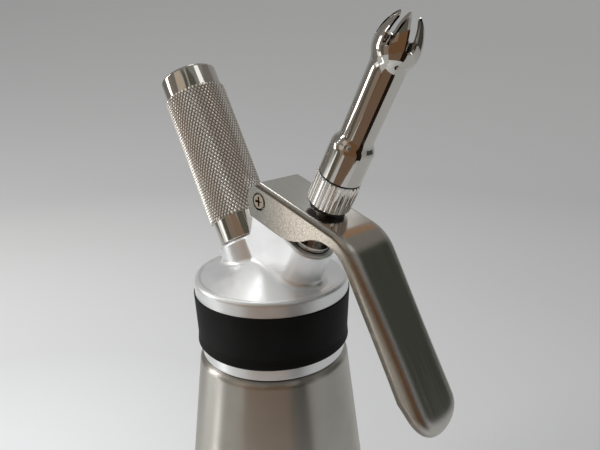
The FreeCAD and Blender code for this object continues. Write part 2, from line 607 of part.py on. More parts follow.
# --------------------------------------------------------------------------------------------
# Head
# --------------------------------------------------------------------------------------------
def head_casting():
    """Cast head: skirt with the band's groove, rim and low dome, and an upright body that joins the
    charger's port, the valve's boss and the lug for the lever."""
    body = new_body("head_casting")
    cover = new_sketch(body, "cover", "YZ_Plane")
    dip_radius = "(rim_radius - rim_round - rim_land)"
    draw(cover, [
        ("0", SKIRT_BOTTOM),
        ("lip_radius - lip_edge", SKIRT_BOTTOM, "lip_edge", LEFT),
        ("lip_radius", f"{SKIRT_BOTTOM} + lip_edge"),
        ("lip_radius", BAND_BOTTOM),
        (SEAT_RADIUS, BAND_BOTTOM),
        (SEAT_RADIUS, BAND_TOP),
        ("rim_radius", BAND_TOP),
        ("rim_radius", f"{RIM_TOP} - rim_round", "rim_round", LEFT),
        ("rim_radius - rim_round", RIM_TOP),
        (dip_radius, f"{RIM_TOP} - rim_dip", "dome_hollow", RIGHT),
        ("dome_top_radius", f"{RIM_TOP} + dome_rise"),
        ("0", f"{RIM_TOP} + dome_rise"),
    ])
    turned(body, cover)

    add_turned(body, "port", "port", "port_root", "port_face", "port_radius")
    add_turned(body, "valve", "valve", "valve_root", "valve_boss_height", "-body_half_width")

    pivot = ("pivot_x", PIVOT_HEIGHT)
    port_corner = in_frame("port", "port_radius", "port_face")
    rim_corner = in_frame("valve", "-body_half_width", "valve_boss_height")
    lug_left = tangent_from(port_corner, pivot, "lug_radius", RIGHT)
    lug_right = tangent_from(rim_corner, pivot, "lug_radius", LEFT)
    web = new_sketch(body, "web")
    draw(web, [
        in_frame("valve", "0", "valve_root"),
        in_frame("valve", "0", "valve_boss_height"),
        rim_corner,
        (*lug_right, "lug_radius", LEFT),
        ("pivot_x", f"{PIVOT_HEIGHT} + lug_radius", "lug_radius", LEFT),
        lug_left,
        port_corner,
        in_frame("port", "0", "port_face"),
        in_frame("port", "0", "port_root"),
    ])
    pad(body, web, "2 * body_half_width", midplane=True)
    round_head(body, port_corner, rim_corner)

    cavity = new_sketch(body, "cavity")
    ceiling = f"({GASKET_SEAT} + recess_depth)"
    draw(cavity, [
        ("0", f"{SKIRT_BOTTOM} - lip_edge"),
        (f"{SKIRT_BORE} + lip_edge", f"{SKIRT_BOTTOM} - lip_edge"),
        (f"{SKIRT_BORE} + lip_edge", f"{SKIRT_BOTTOM} + lip_edge"),
        (SKIRT_BORE, f"{SKIRT_BOTTOM} + 2 * lip_edge"),
        (SKIRT_BORE, GASKET_SEAT),
        ("recess_radius", GASKET_SEAT),
        ("recess_radius", f"{ceiling} - recess_round", "recess_round", LEFT),
        ("recess_radius - recess_round", ceiling),
        ("0", ceiling),
    ])
    turned(body, cavity, "PartDesign::Groove")
    add_turned(body, "seat", "valve", "seat_height", "bush_floor", "seat_boss_radius")
    add_turned(body, "outlet", "port", "port_outlet", "port_root", "port_outlet_radius")
    add_turned(body, "stub", "port", "port_face - stub_edge", STUB_TOP, "stub_radius", "stub_edge")

    cut_turned(body, "chamber", "valve", "chamber_floor", "valve_boss_height + body_edge",
               "chamber_radius")
    cut_turned(body, "bush_bore", "valve", SEAL_LEDGE, "chamber_floor + body_edge", "bush_radius")
    cut_turned(body, "flow_bore", "valve", "seat_height - seat_play", f"{SEAL_LEDGE} + seat_play",
               "flow_radius")
    cut_turned(body, "neck_bore", "port", "port_bore_floor", f"{STUB_TOP} + stub_edge",
               "port_bore_radius")
    cut_turned(body, "gas_bore", "port", "port_outlet - seat_play", "port_bore_floor + seat_play",
               "gas_passage_radius")
    pin = new_sketch(body, "pin_bore")
    draw_circle(pin, "pivot_x", PIVOT_HEIGHT, "screw_radius + fit_play")
    pocket(body, pin, "3 * body_half_width", midplane=True)
    return body


def round_head(body, port_corner, rim_corner):
    """Round the creases of the casting first and then, in one closed loop, its upper edges."""
    half = value("body_half_width")
    boss = value("port_radius")
    dip = value("rim_radius - rim_round - rim_land")
    slope_middle = Vector(0, -value("(rim_radius + dome_top_radius) / 2"), 0)
    root = Vector(-value("port_offset"), 0, value(AXES_HEIGHT))
    lean = math.radians(value("port_tilt"))
    axis = Vector(-math.sin(lean), 0, math.cos(lean))
    doc.recompute()
    dome = min(body.Shape.Faces, key=lambda face: face.distToShape(
        Part.makeLine(slope_middle.add(Vector(0, 0, value(RIM_TOP))),
                      slope_middle.add(Vector(0, 0, value(RIM_TOP) + half))))[0])

    def in_crease(edge):
        point = middle_of(edge)
        on_dome = dome.distToShape(Part.Vertex(point))[0] < TOUCH
        beside_port = abs(point.distanceToLine(root, axis) - boss) < TOUCH
        beside_web = abs(abs(point.y) - half) < TOUCH
        inside_rim = math.hypot(point.x, point.y) < dip - TOUCH
        seam = abs(point.x) < TOUCH
        return (on_dome and inside_rim and not seam) or (beside_port and beside_web)

    def in_corner(edge):
        point = middle_of(edge)
        return abs(point.y) < half - TOUCH and any(
            math.hypot(point.x - value(corner[0]), point.z - value(corner[1])) < TOUCH
            for corner in (port_corner, rim_corner))

    def over_lug(edge):
        top = Vector(value("pivot_x"), half, value(f"{PIVOT_HEIGHT} + lug_radius"))
        return edge.distToShape(Part.Vertex(top))[0] < TOUCH and abs(middle_of(edge).y - half) < TOUCH

    rounded(body, "crease_fillet", in_crease)
    rounded(body, "web_crease", in_corner)
    rounded(body, "body_edge", over_lug)


def grip_band():
    """Silicone band in the skirt's groove, wider at the top, with a swollen lower edge."""
    bottom = f"({BAND_BOTTOM} + band_play)"
    top = f"({BAND_TOP} - band_play)"
    return turned_body("grip_band", "upright", [
        (f"{SEAT_RADIUS} + band_play", bottom),
        ("band_waist_radius - band_bulge", bottom),
        ("band_waist_radius + band_bulge", f"{bottom} + band_bulge_height"),
        ("band_waist_radius", f"{bottom} + band_waist_height"),
        ("band_top_radius", f"{top} - band_bulge"),
        ("band_top_radius - band_bulge", top),
        (f"{SEAT_RADIUS} + band_play", top),
    ])


def sleeve(label, frame, bottom, top, inner, outer):
    """A plain ring: a gasket, a washer or a bush."""
    return turned_body(label, frame, [
        (inner, bottom),
        (outer, bottom),
        (outer, top),
        (inner, top),
    ])


def head_gasket():
    """Flat ring between the neck's rim and the head."""
    return sleeve("head_gasket", "upright", f"{NECK_TOP} + seat_play", f"{GASKET_SEAT} - seat_play",
                  "neck_radius - gasket_width", "neck_radius")


# --------------------------------------------------------------------------------------------
# Gas side: from the charger's holder down to the check valve
# --------------------------------------------------------------------------------------------
def charger_holder():
    """Closed sleeve that screws on to the port's stub and presses the charger on to the pin."""
    grip_start = f"({HOLDER_BASE} + holder_collar)"
    grip_end = f"({HOLDER_TOP} - holder_crown)"
    thread_end = f"({STUB_TOP} + thread_relief)"
    return turned_body("charger_holder", "port", [
        ("stub_radius + thread_play", HOLDER_BASE),
        ("holder_ring_radius", HOLDER_BASE),
        ("holder_ring_radius", grip_start),
        ("holder_grip_radius", f"{grip_start} + holder_chamfer"),
        ("holder_grip_radius", f"{grip_end} - holder_chamfer"),
        ("holder_ring_radius", grip_end),
        ("holder_ring_radius", f"{HOLDER_TOP} - holder_edge", "holder_edge", LEFT),
        ("holder_ring_radius - holder_edge", HOLDER_TOP),
        ("0", HOLDER_TOP),
        ("0", HOLDER_FLOOR),
        ("charger_radius + charger_play", HOLDER_FLOOR),
        ("charger_radius + charger_play", thread_end),
        ("stub_radius + thread_play", thread_end),
    ])


def gas_charger():
    """Steel bottle for the gas: neck down, round shoulder, round closed end."""
    neck_end = f"({CHARGER_TIP} + charger_neck_length)"
    body_start = f"({neck_end} + charger_shoulder)"
    step = "(charger_radius - charger_neck_radius)"
    bend = sway(step, "charger_shoulder")
    lean = f"asin(charger_shoulder / 2 / {bend})"
    middle = (f"(charger_neck_radius + {step} / 2)", f"({neck_end} + charger_shoulder / 2)")
    round_start = f"({CHARGER_END} - charger_end_round)"
    return turned_body("gas_charger", "port", [
        ("charger_neck_radius - charger_wall", CHARGER_TIP),
        ("charger_neck_radius", CHARGER_TIP),
        ("charger_neck_radius", neck_end, bend, RIGHT),
        (*middle, bend, LEFT),
        ("charger_radius", body_start),
        ("charger_radius", round_start, "charger_end_round", LEFT),
        ("charger_radius - charger_end_round", CHARGER_END),
        ("0", CHARGER_END),
        ("0", f"{CHARGER_END} - charger_wall"),
        ("charger_radius - charger_end_round", f"{CHARGER_END} - charger_wall",
         "charger_end_round - charger_wall", RIGHT),
        ("charger_radius - charger_wall", round_start),
        ("charger_radius - charger_wall", body_start, f"{bend} - charger_wall", RIGHT),
        (f"{middle[0]} - charger_wall * cos({lean})", f"{middle[1]} + charger_wall * sin({lean})",
         f"{bend} + charger_wall", LEFT),
        ("charger_neck_radius - charger_wall", neck_end),
    ])


def charger_cap():
    """Crimped cap in the charger's neck, pierced by the pin."""
    return sleeve("charger_cap", "port", CHARGER_TIP, f"{CHARGER_TIP} + cap_thickness",
                  "cap_hole_radius", "charger_neck_radius - charger_wall - fit_play")


def charger_gasket():
    """Rubber ring on which the charger's neck seals."""
    return sleeve("charger_gasket", "port", f"{CARRIER_TOP} + seat_play",
                  f"{CHARGER_TIP} - seat_play", "pin_radius + pin_bore_radius",
                  "port_bore_radius - seal_play")


def pin_carrier():
    """Plug screwed into the port, which carries the pin."""
    return sleeve("pin_carrier", "port", "port_bore_floor", CARRIER_TOP, "pin_radius + fit_play",
                  "port_bore_radius - fit_play")


def piercing_pin():
    """Hollow pin with a tapered point."""
    point = f"({CHARGER_TIP} + pin_reach)"
    return turned_body("piercing_pin", "port", [
        ("pin_bore_radius", "port_bore_floor"),
        ("pin_radius", "port_bore_floor"),
        ("pin_radius", f"{point} - pin_point"),
        ("pin_point_radius", point),
        ("pin_bore_radius", point),
    ])


def inlet_check_valve():
    """Rubber valve at the gas passage's end: a stem in the passage, a flange and a tapered bill."""
    flange_top = "(port_outlet - seat_play)"
    flange_bottom = f"({flange_top} - check_flange)"
    stem = "(gas_passage_radius - seal_play)"
    return turned_body("inlet_check_valve", "port", [
        ("check_bore", f"{flange_bottom} - check_bill"),
        ("gas_passage_radius", f"{flange_bottom} - check_bill"),
        ("check_flange_radius - check_bore", flange_bottom),
        ("check_flange_radius", flange_bottom),
        ("check_flange_radius", flange_top),
        (stem, flange_top),
        (stem, f"{flange_top} + check_stem"),
        ("check_bore", f"{flange_top} + check_stem"),
    ])


# --------------------------------------------------------------------------------------------
# Valve
# --------------------------------------------------------------------------------------------
def valve_stem():
    """Hollow stem with a foot and four cross holes over it; the bore is closed at the foot."""
    body = turned_body("valve_stem", "valve", [
        ("0", f"{FOOT_TOP} - poppet_thickness"),
        ("poppet_radius", f"{FOOT_TOP} - poppet_thickness"),
        ("poppet_radius", FOOT_TOP),
        ("stem_radius", FOOT_TOP),
        ("stem_radius", "stem_top"),
        ("stem_bore_radius", "stem_top"),
        ("stem_bore_radius", "stem_port_height - 2 * stem_port_radius"),
        ("0", "stem_port_height - 2 * stem_port_radius"),
    ])
    hole = new_sketch(body, "cross_hole")
    draw_circle(hole, "0", "stem_port_height", "stem_port_radius")
    cut = pocket(body, hole, "2 * stem_radius")
    repeated(body, cut, "stem_port_count")
    return body


def valve_seal():
    """Flat rubber washer on the stem's foot, which closes on the seat."""
    return sleeve("valve_seal", "valve", FOOT_TOP, SEAL_TOP, "stem_radius + fit_play",
                  "poppet_radius")


def stem_o_ring():
    """Rubber ring that seals the moving stem under the guide bush."""
    return ring("stem_o_ring", "valve", "(stem_radius + bush_radius) / 2", STEM_SEAL,
                f"({SEAL_LEDGE} + bush_floor) / 2")


def valve_guide_bush():
    """Flanged bush that guides the stem and carries the spring."""
    return turned_body("valve_guide_bush", "valve", [
        ("stem_radius + stem_play", "bush_floor"),
        ("bush_radius - fit_play", "bush_floor"),
        ("bush_radius - fit_play", "chamber_floor"),
        ("chamber_radius - stem_play", "chamber_floor"),
        ("chamber_radius - stem_play", BUSH_TOP),
        ("stem_radius + stem_play", BUSH_TOP),
    ])


def return_spring():
    """Round wire wound between the bush and the collar's disc."""
    body = new_body("return_spring", "valve")
    start = f"({BUSH_TOP} + spring_wire + seat_play)"
    wire = new_sketch(body, "wire")
    draw_circle(wire, "spring_radius", start, "spring_wire")
    coil = body.newObject("PartDesign::AdditiveHelix", "spring_coil")
    coil.Profile = wire
    coil.ReferenceAxis = (wire, ["V_Axis"])
    coil.Mode = "height-turns-angle"
    coil.setExpression("Height", formula(f"disc_height - spring_wire - seat_play - {start}"))
    coil.setExpression("Turns", formula("spring_turns"))
    return body


def valve_collar():
    """Spool pressed on to the stem: the spring lifts its disc, the lever presses its flange."""
    return turned_body("valve_collar", "valve", [
        ("stem_radius + fit_play", "disc_height"),
        ("disc_radius", "disc_height"),
        ("disc_radius", "disc_height + disc_thickness"),
        ("collar_waist_radius", "disc_height + disc_thickness"),
        ("collar_waist_radius", f"{COLLAR_TOP} - collar_flange"),
        ("disc_radius", f"{COLLAR_TOP} - collar_flange"),
        ("disc_radius", f"{COLLAR_TOP} - collar_edge"),
        ("disc_radius - collar_edge", COLLAR_TOP),
        ("stem_radius + fit_play", COLLAR_TOP),
    ])


# --------------------------------------------------------------------------------------------
# Nozzle side: what is screwed on to the stem's end
# --------------------------------------------------------------------------------------------
def adapter_washer():
    """Black washer under the adapter."""
    return sleeve("adapter_washer", "valve", WASHER_BASE, "adapter_base - seat_play",
                  "adapter_hub_radius + stem_play", "washer_radius")


def tip_adapter():
    """Fluted piece with a hub that passes through the lever and a spigot for the nozzle."""
    seal_groove = "(stem_radius + 2 * (adapter_seal_section + seal_play))"
    groove_half = "(adapter_seal_section + seal_play)"
    socket_end = "(stem_top + thread_relief)"
    spigot_top = f"({ADAPTER_TOP} + spigot_height)"
    body = turned_body("tip_adapter", "valve", [
        ("stem_radius + stem_play", f"{COLLAR_TOP} + seat_play"),
        ("adapter_hub_radius", f"{COLLAR_TOP} + seat_play"),
        ("adapter_hub_radius", "adapter_base"),
        ("adapter_radius - adapter_edge", "adapter_base"),
        ("adapter_radius", "adapter_base + adapter_edge"),
        ("adapter_radius", f"{ADAPTER_TOP} - adapter_edge"),
        ("adapter_radius - adapter_edge", ADAPTER_TOP),
        ("spigot_radius", ADAPTER_TOP),
        ("spigot_radius", f"{spigot_top} - adapter_edge"),
        ("spigot_radius - adapter_edge", spigot_top),
        ("outlet_radius", spigot_top),
        ("outlet_radius", socket_end),
        ("stem_radius + stem_play", socket_end),
        ("stem_radius + stem_play", f"adapter_seal_height + {groove_half}"),
        (seal_groove, f"adapter_seal_height + {groove_half}"),
        (seal_groove, f"adapter_seal_height - {groove_half}"),
        ("stem_radius + stem_play", f"adapter_seal_height - {groove_half}"),
    ])
    flute = new_sketch(body, "flute", "XY_Plane")
    shift(flute, "0", "0", ADAPTER_TOP)
    draw_circle(flute, "adapter_radius + flute_radius - ridge_depth", "0", "flute_radius")
    cut = pocket(body, flute, "adapter_height")
    repeated(body, cut, "ridge_count")
    return body


def adapter_seal():
    """Rubber ring between adapter and stem."""
    return ring("adapter_seal", "valve", "stem_radius + seal_play + adapter_seal_section",
                "adapter_seal_section", "adapter_seal_height")


def nozzle_o_ring():
    """Black ring squeezed between adapter and nozzle, with a round outer side."""
    bottom = f"({ADAPTER_TOP} + seat_play)"
    top = f"({NOZZLE_BASE} - seat_play)"
    return turned_body("nozzle_o_ring", "valve", [
        ("spigot_radius + seal_play", bottom),
        ("nozzle_base_radius - ring_gap / 2", bottom, f"({top} - {bottom}) / 2", LEFT),
        (f"nozzle_base_radius - ring_gap / 2 + ({top} - {bottom}) / 2", f"({top} + {bottom}) / 2",
         f"({top} - {bottom}) / 2", LEFT),
        ("nozzle_base_radius - ring_gap / 2", top),
        ("spigot_radius + seal_play", top),
    ])


def tulip_nozzle():
    """Turned nozzle: foot, slender tube and a crown slotted into petals that bend inwards."""
    bore = "(nozzle_tube_radius - nozzle_wall)"
    foot_step = "(nozzle_tube_radius - nozzle_foot_top_radius)"
    foot_rise = "(nozzle_tube_start - nozzle_foot_top)"
    foot_bend = sway(foot_step, foot_rise)
    crown_step = "(crown_radius - nozzle_tube_radius)"
    crown_rise = "(crown_height - nozzle_tube_top)"
    crown_bend = sway(crown_step, crown_rise)
    crown_lean = f"asin({crown_rise} / 2 / {crown_bend})"
    crown_middle = (f"(nozzle_tube_radius + {crown_step} / 2)",
                    f"(nozzle_tube_top + {crown_rise} / 2)")
    tip_step = "(crown_radius - tip_radius)"
    tip_rise = "(tip_height - crown_height)"
    petal_bend = f"(({tip_step} ^ 2 + {tip_rise} ^ 2) / (2 * {tip_step}))"
    petal_centre = f"(crown_radius - {petal_bend})"
    inner_share = f"(({petal_bend} - nozzle_wall) / {petal_bend})"
    thread_end = f"({ADAPTER_TOP} + spigot_height + thread_relief)"
    body = turned_body("tulip_nozzle", "valve", [
        ("spigot_radius + stem_play", NOZZLE_BASE),
        ("nozzle_base_radius", NOZZLE_BASE),
        ("nozzle_foot_top_radius", "nozzle_foot_top", foot_bend, LEFT),
        (f"nozzle_foot_top_radius + {foot_step} / 2", f"nozzle_foot_top + {foot_rise} / 2",
         foot_bend, RIGHT),
        ("nozzle_tube_radius", "nozzle_tube_start"),
        ("nozzle_tube_radius", "nozzle_tube_top", crown_bend, RIGHT),
        (*crown_middle, crown_bend, LEFT),
        ("crown_radius", "crown_height", petal_bend, LEFT),
        ("tip_radius", "tip_height"),
        (f"{petal_centre} + (tip_radius - {petal_centre}) * {inner_share}",
         f"crown_height + {tip_rise} * {inner_share}", f"{petal_bend} - nozzle_wall", RIGHT),
        ("crown_radius - nozzle_wall", "crown_height", f"{crown_bend} - nozzle_wall", RIGHT),
        (f"{crown_middle[0]} - nozzle_wall * cos({crown_lean})",
         f"{crown_middle[1]} + nozzle_wall * sin({crown_lean})", f"{crown_bend} + nozzle_wall", LEFT),
        (bore, "nozzle_tube_top"),
        (bore, f"{thread_end} + spigot_radius + stem_play - {bore}"),
        ("spigot_radius + stem_play", thread_end),
    ])
    slot = new_sketch(body, "slot", "YZ_Plane")
    shift(slot, "0", "0", "0", Vector(0, 1, 0), "slot_turn")
    draw(slot, [
        ("0", "slot_floor", "slot_width / 2", LEFT),
        ("slot_width / 2", "slot_floor + slot_width / 2"),
        ("slot_width / 2", "tip_height + slot_width"),
        ("-slot_width / 2", "tip_height + slot_width"),
        ("-slot_width / 2", "slot_floor + slot_width / 2", "slot_width / 2", LEFT),
    ])
    cut = pocket(body, slot, "2 * crown_radius", reverse=True)
    repeated(body, cut, "petal_count")
    return body


# --------------------------------------------------------------------------------------------
# Lever and its pivot
# --------------------------------------------------------------------------------------------
BEND_ANGLE = "(handle_angle - plate_angle)"
BEND_REACH = f"(bend_radius * tan({BEND_ANGLE} / 2))"
LEVER_CORNER = along("plate_angle", "plate_length", "plate_height")


def on_handle(forward, over):
    """A place given from the bend's corner along the handle and square over it."""
    step = along("handle_angle", forward, over)
    return f"({LEVER_CORNER[0]} + {step[0]})", f"({LEVER_CORNER[1]} + {step[1]})"


def lever_back(inset, start):
    """The lever's upper line from a start on the plate to the handle's end, moved inwards."""
    return [
        along("plate_angle", start, f"(plate_height - {inset})"),
        (*along("plate_angle", f"(plate_length - {BEND_REACH})", f"(plate_height - {inset})"),
         f"bend_radius - {inset}", RIGHT),
        on_handle(BEND_REACH, f"(-{inset})"),
        on_handle(f"(handle_length - {inset})", f"(-{inset})"),
    ]


def cheek_outline():
    """The lever seen from its side: plate, bend and handle above; below them the handle's edge,
    which rises at the nose, a hump, a valley and the straight edge of the cheek, which turns
    round the pivot."""
    end = on_handle("handle_length", "(-handle_depth)")
    skirt = "(handle_length - skirt_short)"
    hump_start = (f"({end[0]} - {skirt} * cos(skirt_angle))",
                  f"({end[1]} + {skirt} * sin(skirt_angle))")
    hump = (f"({hump_start[0]} - hump_radius * sin(skirt_angle))",
            f"({hump_start[1]} - hump_radius * cos(skirt_angle))")
    edge = "(plate_height - cheek_depth)"
    hump_over = f"({hump[0]} * sin(plate_angle) + {hump[1]} * cos(plate_angle))"
    hump_forward = f"({hump[0]} * cos(plate_angle) - {hump[1]} * sin(plate_angle))"
    valley_forward = (f"({hump_forward} - sqrt((valley_radius + hump_radius) ^ 2"
                      f" - ({edge} + valley_radius - {hump_over}) ^ 2))")
    valley = along("plate_angle", valley_forward, f"({edge} + valley_radius)")
    share = "hump_radius / (hump_radius + valley_radius)"
    corner = along("plate_angle", "(-cheek_back)", edge)
    return lever_back("0", "(-plate_start)") + [
        (*on_handle("handle_length", "(nose_lift - handle_depth)"),
         "(nose_run ^ 2 + nose_lift ^ 2) / (2 * nose_lift)", LEFT),
        (f"({end[0]} - nose_run * cos(skirt_angle))", f"({end[1]} + nose_run * sin(skirt_angle))"),
        (*hump_start, "hump_radius", LEFT),
        (f"{hump[0]} + ({valley[0]} - {hump[0]}) * {share}",
         f"{hump[1]} + ({valley[1]} - {hump[1]}) * {share}", "valley_radius", RIGHT),
        along("plate_angle", valley_forward, edge),
        corner,
        (*tangent_from(corner, ("0", "0"), "cheek_radius", RIGHT), "cheek_radius", RIGHT),
        along("plate_angle", "(-plate_start)", "sqrt(cheek_radius ^ 2 - plate_start ^ 2)"),
    ]


def hollow_outline():
    """The space under the lever's sheet, drawn on past its open sides."""
    behind = "(-plate_start - 2 * cheek_radius)"
    return lever_back("lever_wall", behind) + [
        on_handle("(handle_length - lever_wall)", "(-2 * cheek_depth)"),
        along("plate_angle", behind, "(-2 * cheek_depth)"),
    ]


def lever_form(name, outline, inset):
    """The lever's outside or its hollow: what three views have in common, with its upper edges
    rounded, more at the nose than along the sides."""
    side = new_body(f"lever_{name}_side", "pivot")
    view = new_sketch(side, "view")
    draw(view, outline)
    pad(side, view, "4 * lever_half_width", midplane=True)

    plan = new_body(f"lever_{name}_plan", "pivot")
    view = new_sketch(plan, "view", "XY_Plane")
    spread = "(lever_half_width - handle_half_width)"
    sweep = sway(spread, "taper_length")
    lean = f"asin(taper_length / 2 / {sweep})"
    wide = f"(lever_half_width - {inset})"
    straight = f"(handle_half_width - {inset})"
    middle = (f"(taper_start + taper_length / 2 - {inset} * sin({lean}))",
              f"((lever_half_width + handle_half_width) / 2 - {inset} * cos({lean}))")
    behind = "(-2 * cheek_radius)"
    taper_end = "(taper_start + taper_length)"
    far = "(plate_length + handle_length)"
    draw(view, [
        (behind, f"-{wide}"),
        ("taper_start", f"-{wide}", f"{sweep} - {inset}", LEFT),
        (middle[0], f"-{middle[1]}", f"{sweep} + {inset}", RIGHT),
        (taper_end, f"-{straight}"),
        (far, f"-{straight}"),
        (far, straight),
        (taper_end, straight, f"{sweep} + {inset}", RIGHT),
        (*middle, f"{sweep} - {inset}", LEFT),
        ("taper_start", wide),
        (behind, wide),
    ])
    pad(plan, view, "4 * handle_length", midplane=True)

    nose = new_body(f"lever_{name}_nose", "pivot")
    nose.Placement = Placement(Vector(0, 0, 0), Rotation(Vector(0, 1, 0), value("handle_angle")))
    nose.setExpression("Placement.Rotation.Angle", formula("handle_angle"))
    nose.setExpression("Placement.Base.x", formula(f"pivot_x + {LEVER_CORNER[0]}"))
    nose.setExpression("Placement.Base.z", formula(f"{PIVOT_HEIGHT} + {LEVER_CORNER[1]}"))
    view = new_sketch(nose, "view", "XY_Plane")
    arc_start = "(handle_length - handle_half_width)"
    draw(view, [
        (f"-{far}", "-2 * lever_half_width"),
        (arc_start, "-2 * lever_half_width"),
        (arc_start, f"-{straight}", straight, LEFT),
        (f"handle_length - {inset}", "0", straight, LEFT),
        (arc_start, straight),
        (arc_start, "2 * lever_half_width"),
        (f"-{far}", "2 * lever_half_width"),
    ])
    end = pad(nose, view, "8 * handle_length", midplane=True)
    end.Refine = False

    sharp = joined(f"lever_{name}_sharp", "Part::MultiCommon", side, plan, nose)
    sharp.Refine = False
    doc.recompute()
    form = doc.addObject("Part::Fillet", f"lever_{name}")
    form.Base = sharp
    form.Edges = back_edges(sharp.Shape, value(inset))
    doc.recompute()
    return form


def back_edges(shape, inset):
    """The edges along the lever's upper face, each with its radius at either end."""
    pivot = Vector(value("pivot_x"), 0, value(PIVOT_HEIGHT))
    tip = [value(place) for place in on_handle(f"(handle_length - {inset})", f"(-{inset})")]
    nose = pivot.add(Vector(tip[0], 0, tip[1]))
    side_radius = value(f"lever_edge - {inset}")
    nose_radius = value(f"nose_radius - {inset}")
    back = Part.Wire(Part.__sortEdges__(back_curve(inset)))
    back.translate(pivot)
    sheet = back.extrude(Vector(0, value("4 * lever_half_width"), 0))
    sheet.translate(Vector(0, -value("2 * lever_half_width"), 0))
    chosen = []
    for number, edge in enumerate(shape.Edges, start=1):
        point = middle_of(edge)
        if abs(point.y) < TOUCH or sheet.distToShape(Part.Vertex(point))[0] > TOUCH:
            continue
        radii = [nose_radius if vertex.Point.distanceToPoint(nose) < TOUCH else side_radius
                 for vertex in (edge.firstVertex(), edge.lastVertex())]
        chosen.append((number, *radii))
    return chosen


def back_curve(inset):
    """The edges of the lever's upper line as curves."""
    corners = lever_back(f"{inset}", "(-plate_start - 2 * cheek_radius)")
    points = [Vector(value(corner[0]), 0, value(corner[1])) for corner in corners]
    flat = [Vector(point.x, point.z, 0) for point in points]
    bend, _ = arc_between(flat[1], flat[2], value(corners[1][2]), RIGHT)
    arc = bend.toShape()
    arc.rotate(Vector(0, 0, 0), Vector(1, 0, 0), 90)
    return [Part.makeLine(points[0], points[1]), arc, Part.makeLine(points[2], points[3])]


def lever():
    """Pressed sheet: plate, bend and handle in one channel, with two cheeks at the pivot, a hole
    for the stem's hub and one in each cheek for the pivot."""
    outside = lever_form("outside", cheek_outline(), "0")
    hollow = lever_form("hollow", hollow_outline(), "lever_wall")
    sheet = joined("lever_sheet", "Part::Cut", outside, hollow)
    journal = doc.addObject("Part::Cylinder", "lever_journal_hole")
    journal.Placement = Placement(Vector(0, 0, 0), Rotation(Vector(1, 0, 0), 90))
    journal.setExpression("Radius", formula("cheek_hole_radius"))
    journal.setExpression("Height", formula("4 * lever_half_width"))
    journal.setExpression("Placement.Base.x", formula("pivot_x + cheek_hole_shift"))
    journal.setExpression("Placement.Base.y", formula("2 * lever_half_width"))
    journal.setExpression("Placement.Base.z", formula(PIVOT_HEIGHT))
    middle = "(plate_height - lever_wall / 2)"
    rise = (f"(({middle} - {PIVOT_ACROSS} * sin(plate_angle) + {PIVOT_DROP} * cos(plate_angle))"
            f" / cos({PRESS_ANGLE}))")
    forward = (f"({PIVOT_ACROSS} * cos(plate_angle) + {PIVOT_DROP} * sin(plate_angle)"
               f" + {rise} * sin({PRESS_ANGLE}) - stem_hole_shift)")
    start = along("plate_angle", forward, "(plate_height - 3 * lever_wall)")
    passage = doc.addObject("Part::Cylinder", "lever_stem_hole")
    passage.Placement = Placement(Vector(0, 0, 0), Rotation(Vector(0, 1, 0), value("plate_angle")))
    passage.setExpression("Radius", formula("stem_hole_radius"))
    passage.setExpression("Height", formula("6 * lever_wall"))
    passage.setExpression("Placement.Base.x", formula(f"pivot_x + {start[0]}"))
    passage.setExpression("Placement.Base.z", formula(f"{PIVOT_HEIGHT} + {start[1]}"))
    passage.setExpression("Placement.Rotation.Angle", formula("plate_angle"))
    holes = joined("lever_holes", "Part::MultiFuse", journal, passage)
    return joined("lever", "Part::Cut", sheet, holes)


def pivot_screw():
    """Screw through the lug, whose head is the journal of the near cheek."""
    body = new_body("pivot_screw", "pivot")
    sketch = new_sketch(body, "outline", "XY_Plane")
    draw(sketch, [
        ("0", f"-{SCREW_FACE}"),
        ("screw_head_radius - screw_edge", f"-{SCREW_FACE}"),
        ("screw_head_radius", f"-{SCREW_FACE} + screw_edge"),
        ("screw_head_radius", "-body_half_width - fit_play"),
        ("screw_radius", "-body_half_width - fit_play"),
        ("screw_radius", f"{SCREW_FACE} - 2 * nut_slot_depth"),
        ("0", f"{SCREW_FACE} - 2 * nut_slot_depth"),
    ])
    turned(body, sketch)
    cross = new_sketch(body, "cross")
    shift(cross, "0", "0", SCREW_FACE)
    arm, half = "cross_length / 2", "cross_width / 2"
    draw(cross, [
        (arm, f"-{half}"), (arm, half), (half, half), (half, arm), (f"-{half}", arm),
        (f"-{half}", half), (f"-{arm}", half), (f"-{arm}", f"-{half}"), (f"-{half}", f"-{half}"),
        (f"-{half}", f"-{arm}"), (half, f"-{arm}"), (half, f"-{half}"),
    ])
    pocket(body, cross, "cross_depth")
    return body


def pivot_nut():
    """Slotted round nut on the screw's end, the journal of the far cheek."""
    body = new_body("pivot_nut", "pivot")
    sketch = new_sketch(body, "outline", "XY_Plane")
    draw(sketch, [
        ("screw_radius + fit_play", "body_half_width + fit_play"),
        ("screw_head_radius", "body_half_width + fit_play"),
        ("screw_head_radius", f"{SCREW_FACE} - screw_edge"),
        ("screw_head_radius - screw_edge", SCREW_FACE),
        ("screw_radius + fit_play", SCREW_FACE),
    ])
    turned(body, sketch)
    slot = new_sketch(body, "slot")
    shift(slot, "0", "0", f"-{SCREW_FACE}")
    draw(slot, [
        ("2 * screw_head_radius", "-nut_slot_width / 2"),
        ("2 * screw_head_radius", "nut_slot_width / 2"),
        ("-2 * screw_head_radius", "nut_slot_width / 2"),
        ("-2 * screw_head_radius", "-nut_slot_width / 2"),
    ])
    pocket(body, slot, "nut_slot_depth", reverse=True)
    return body


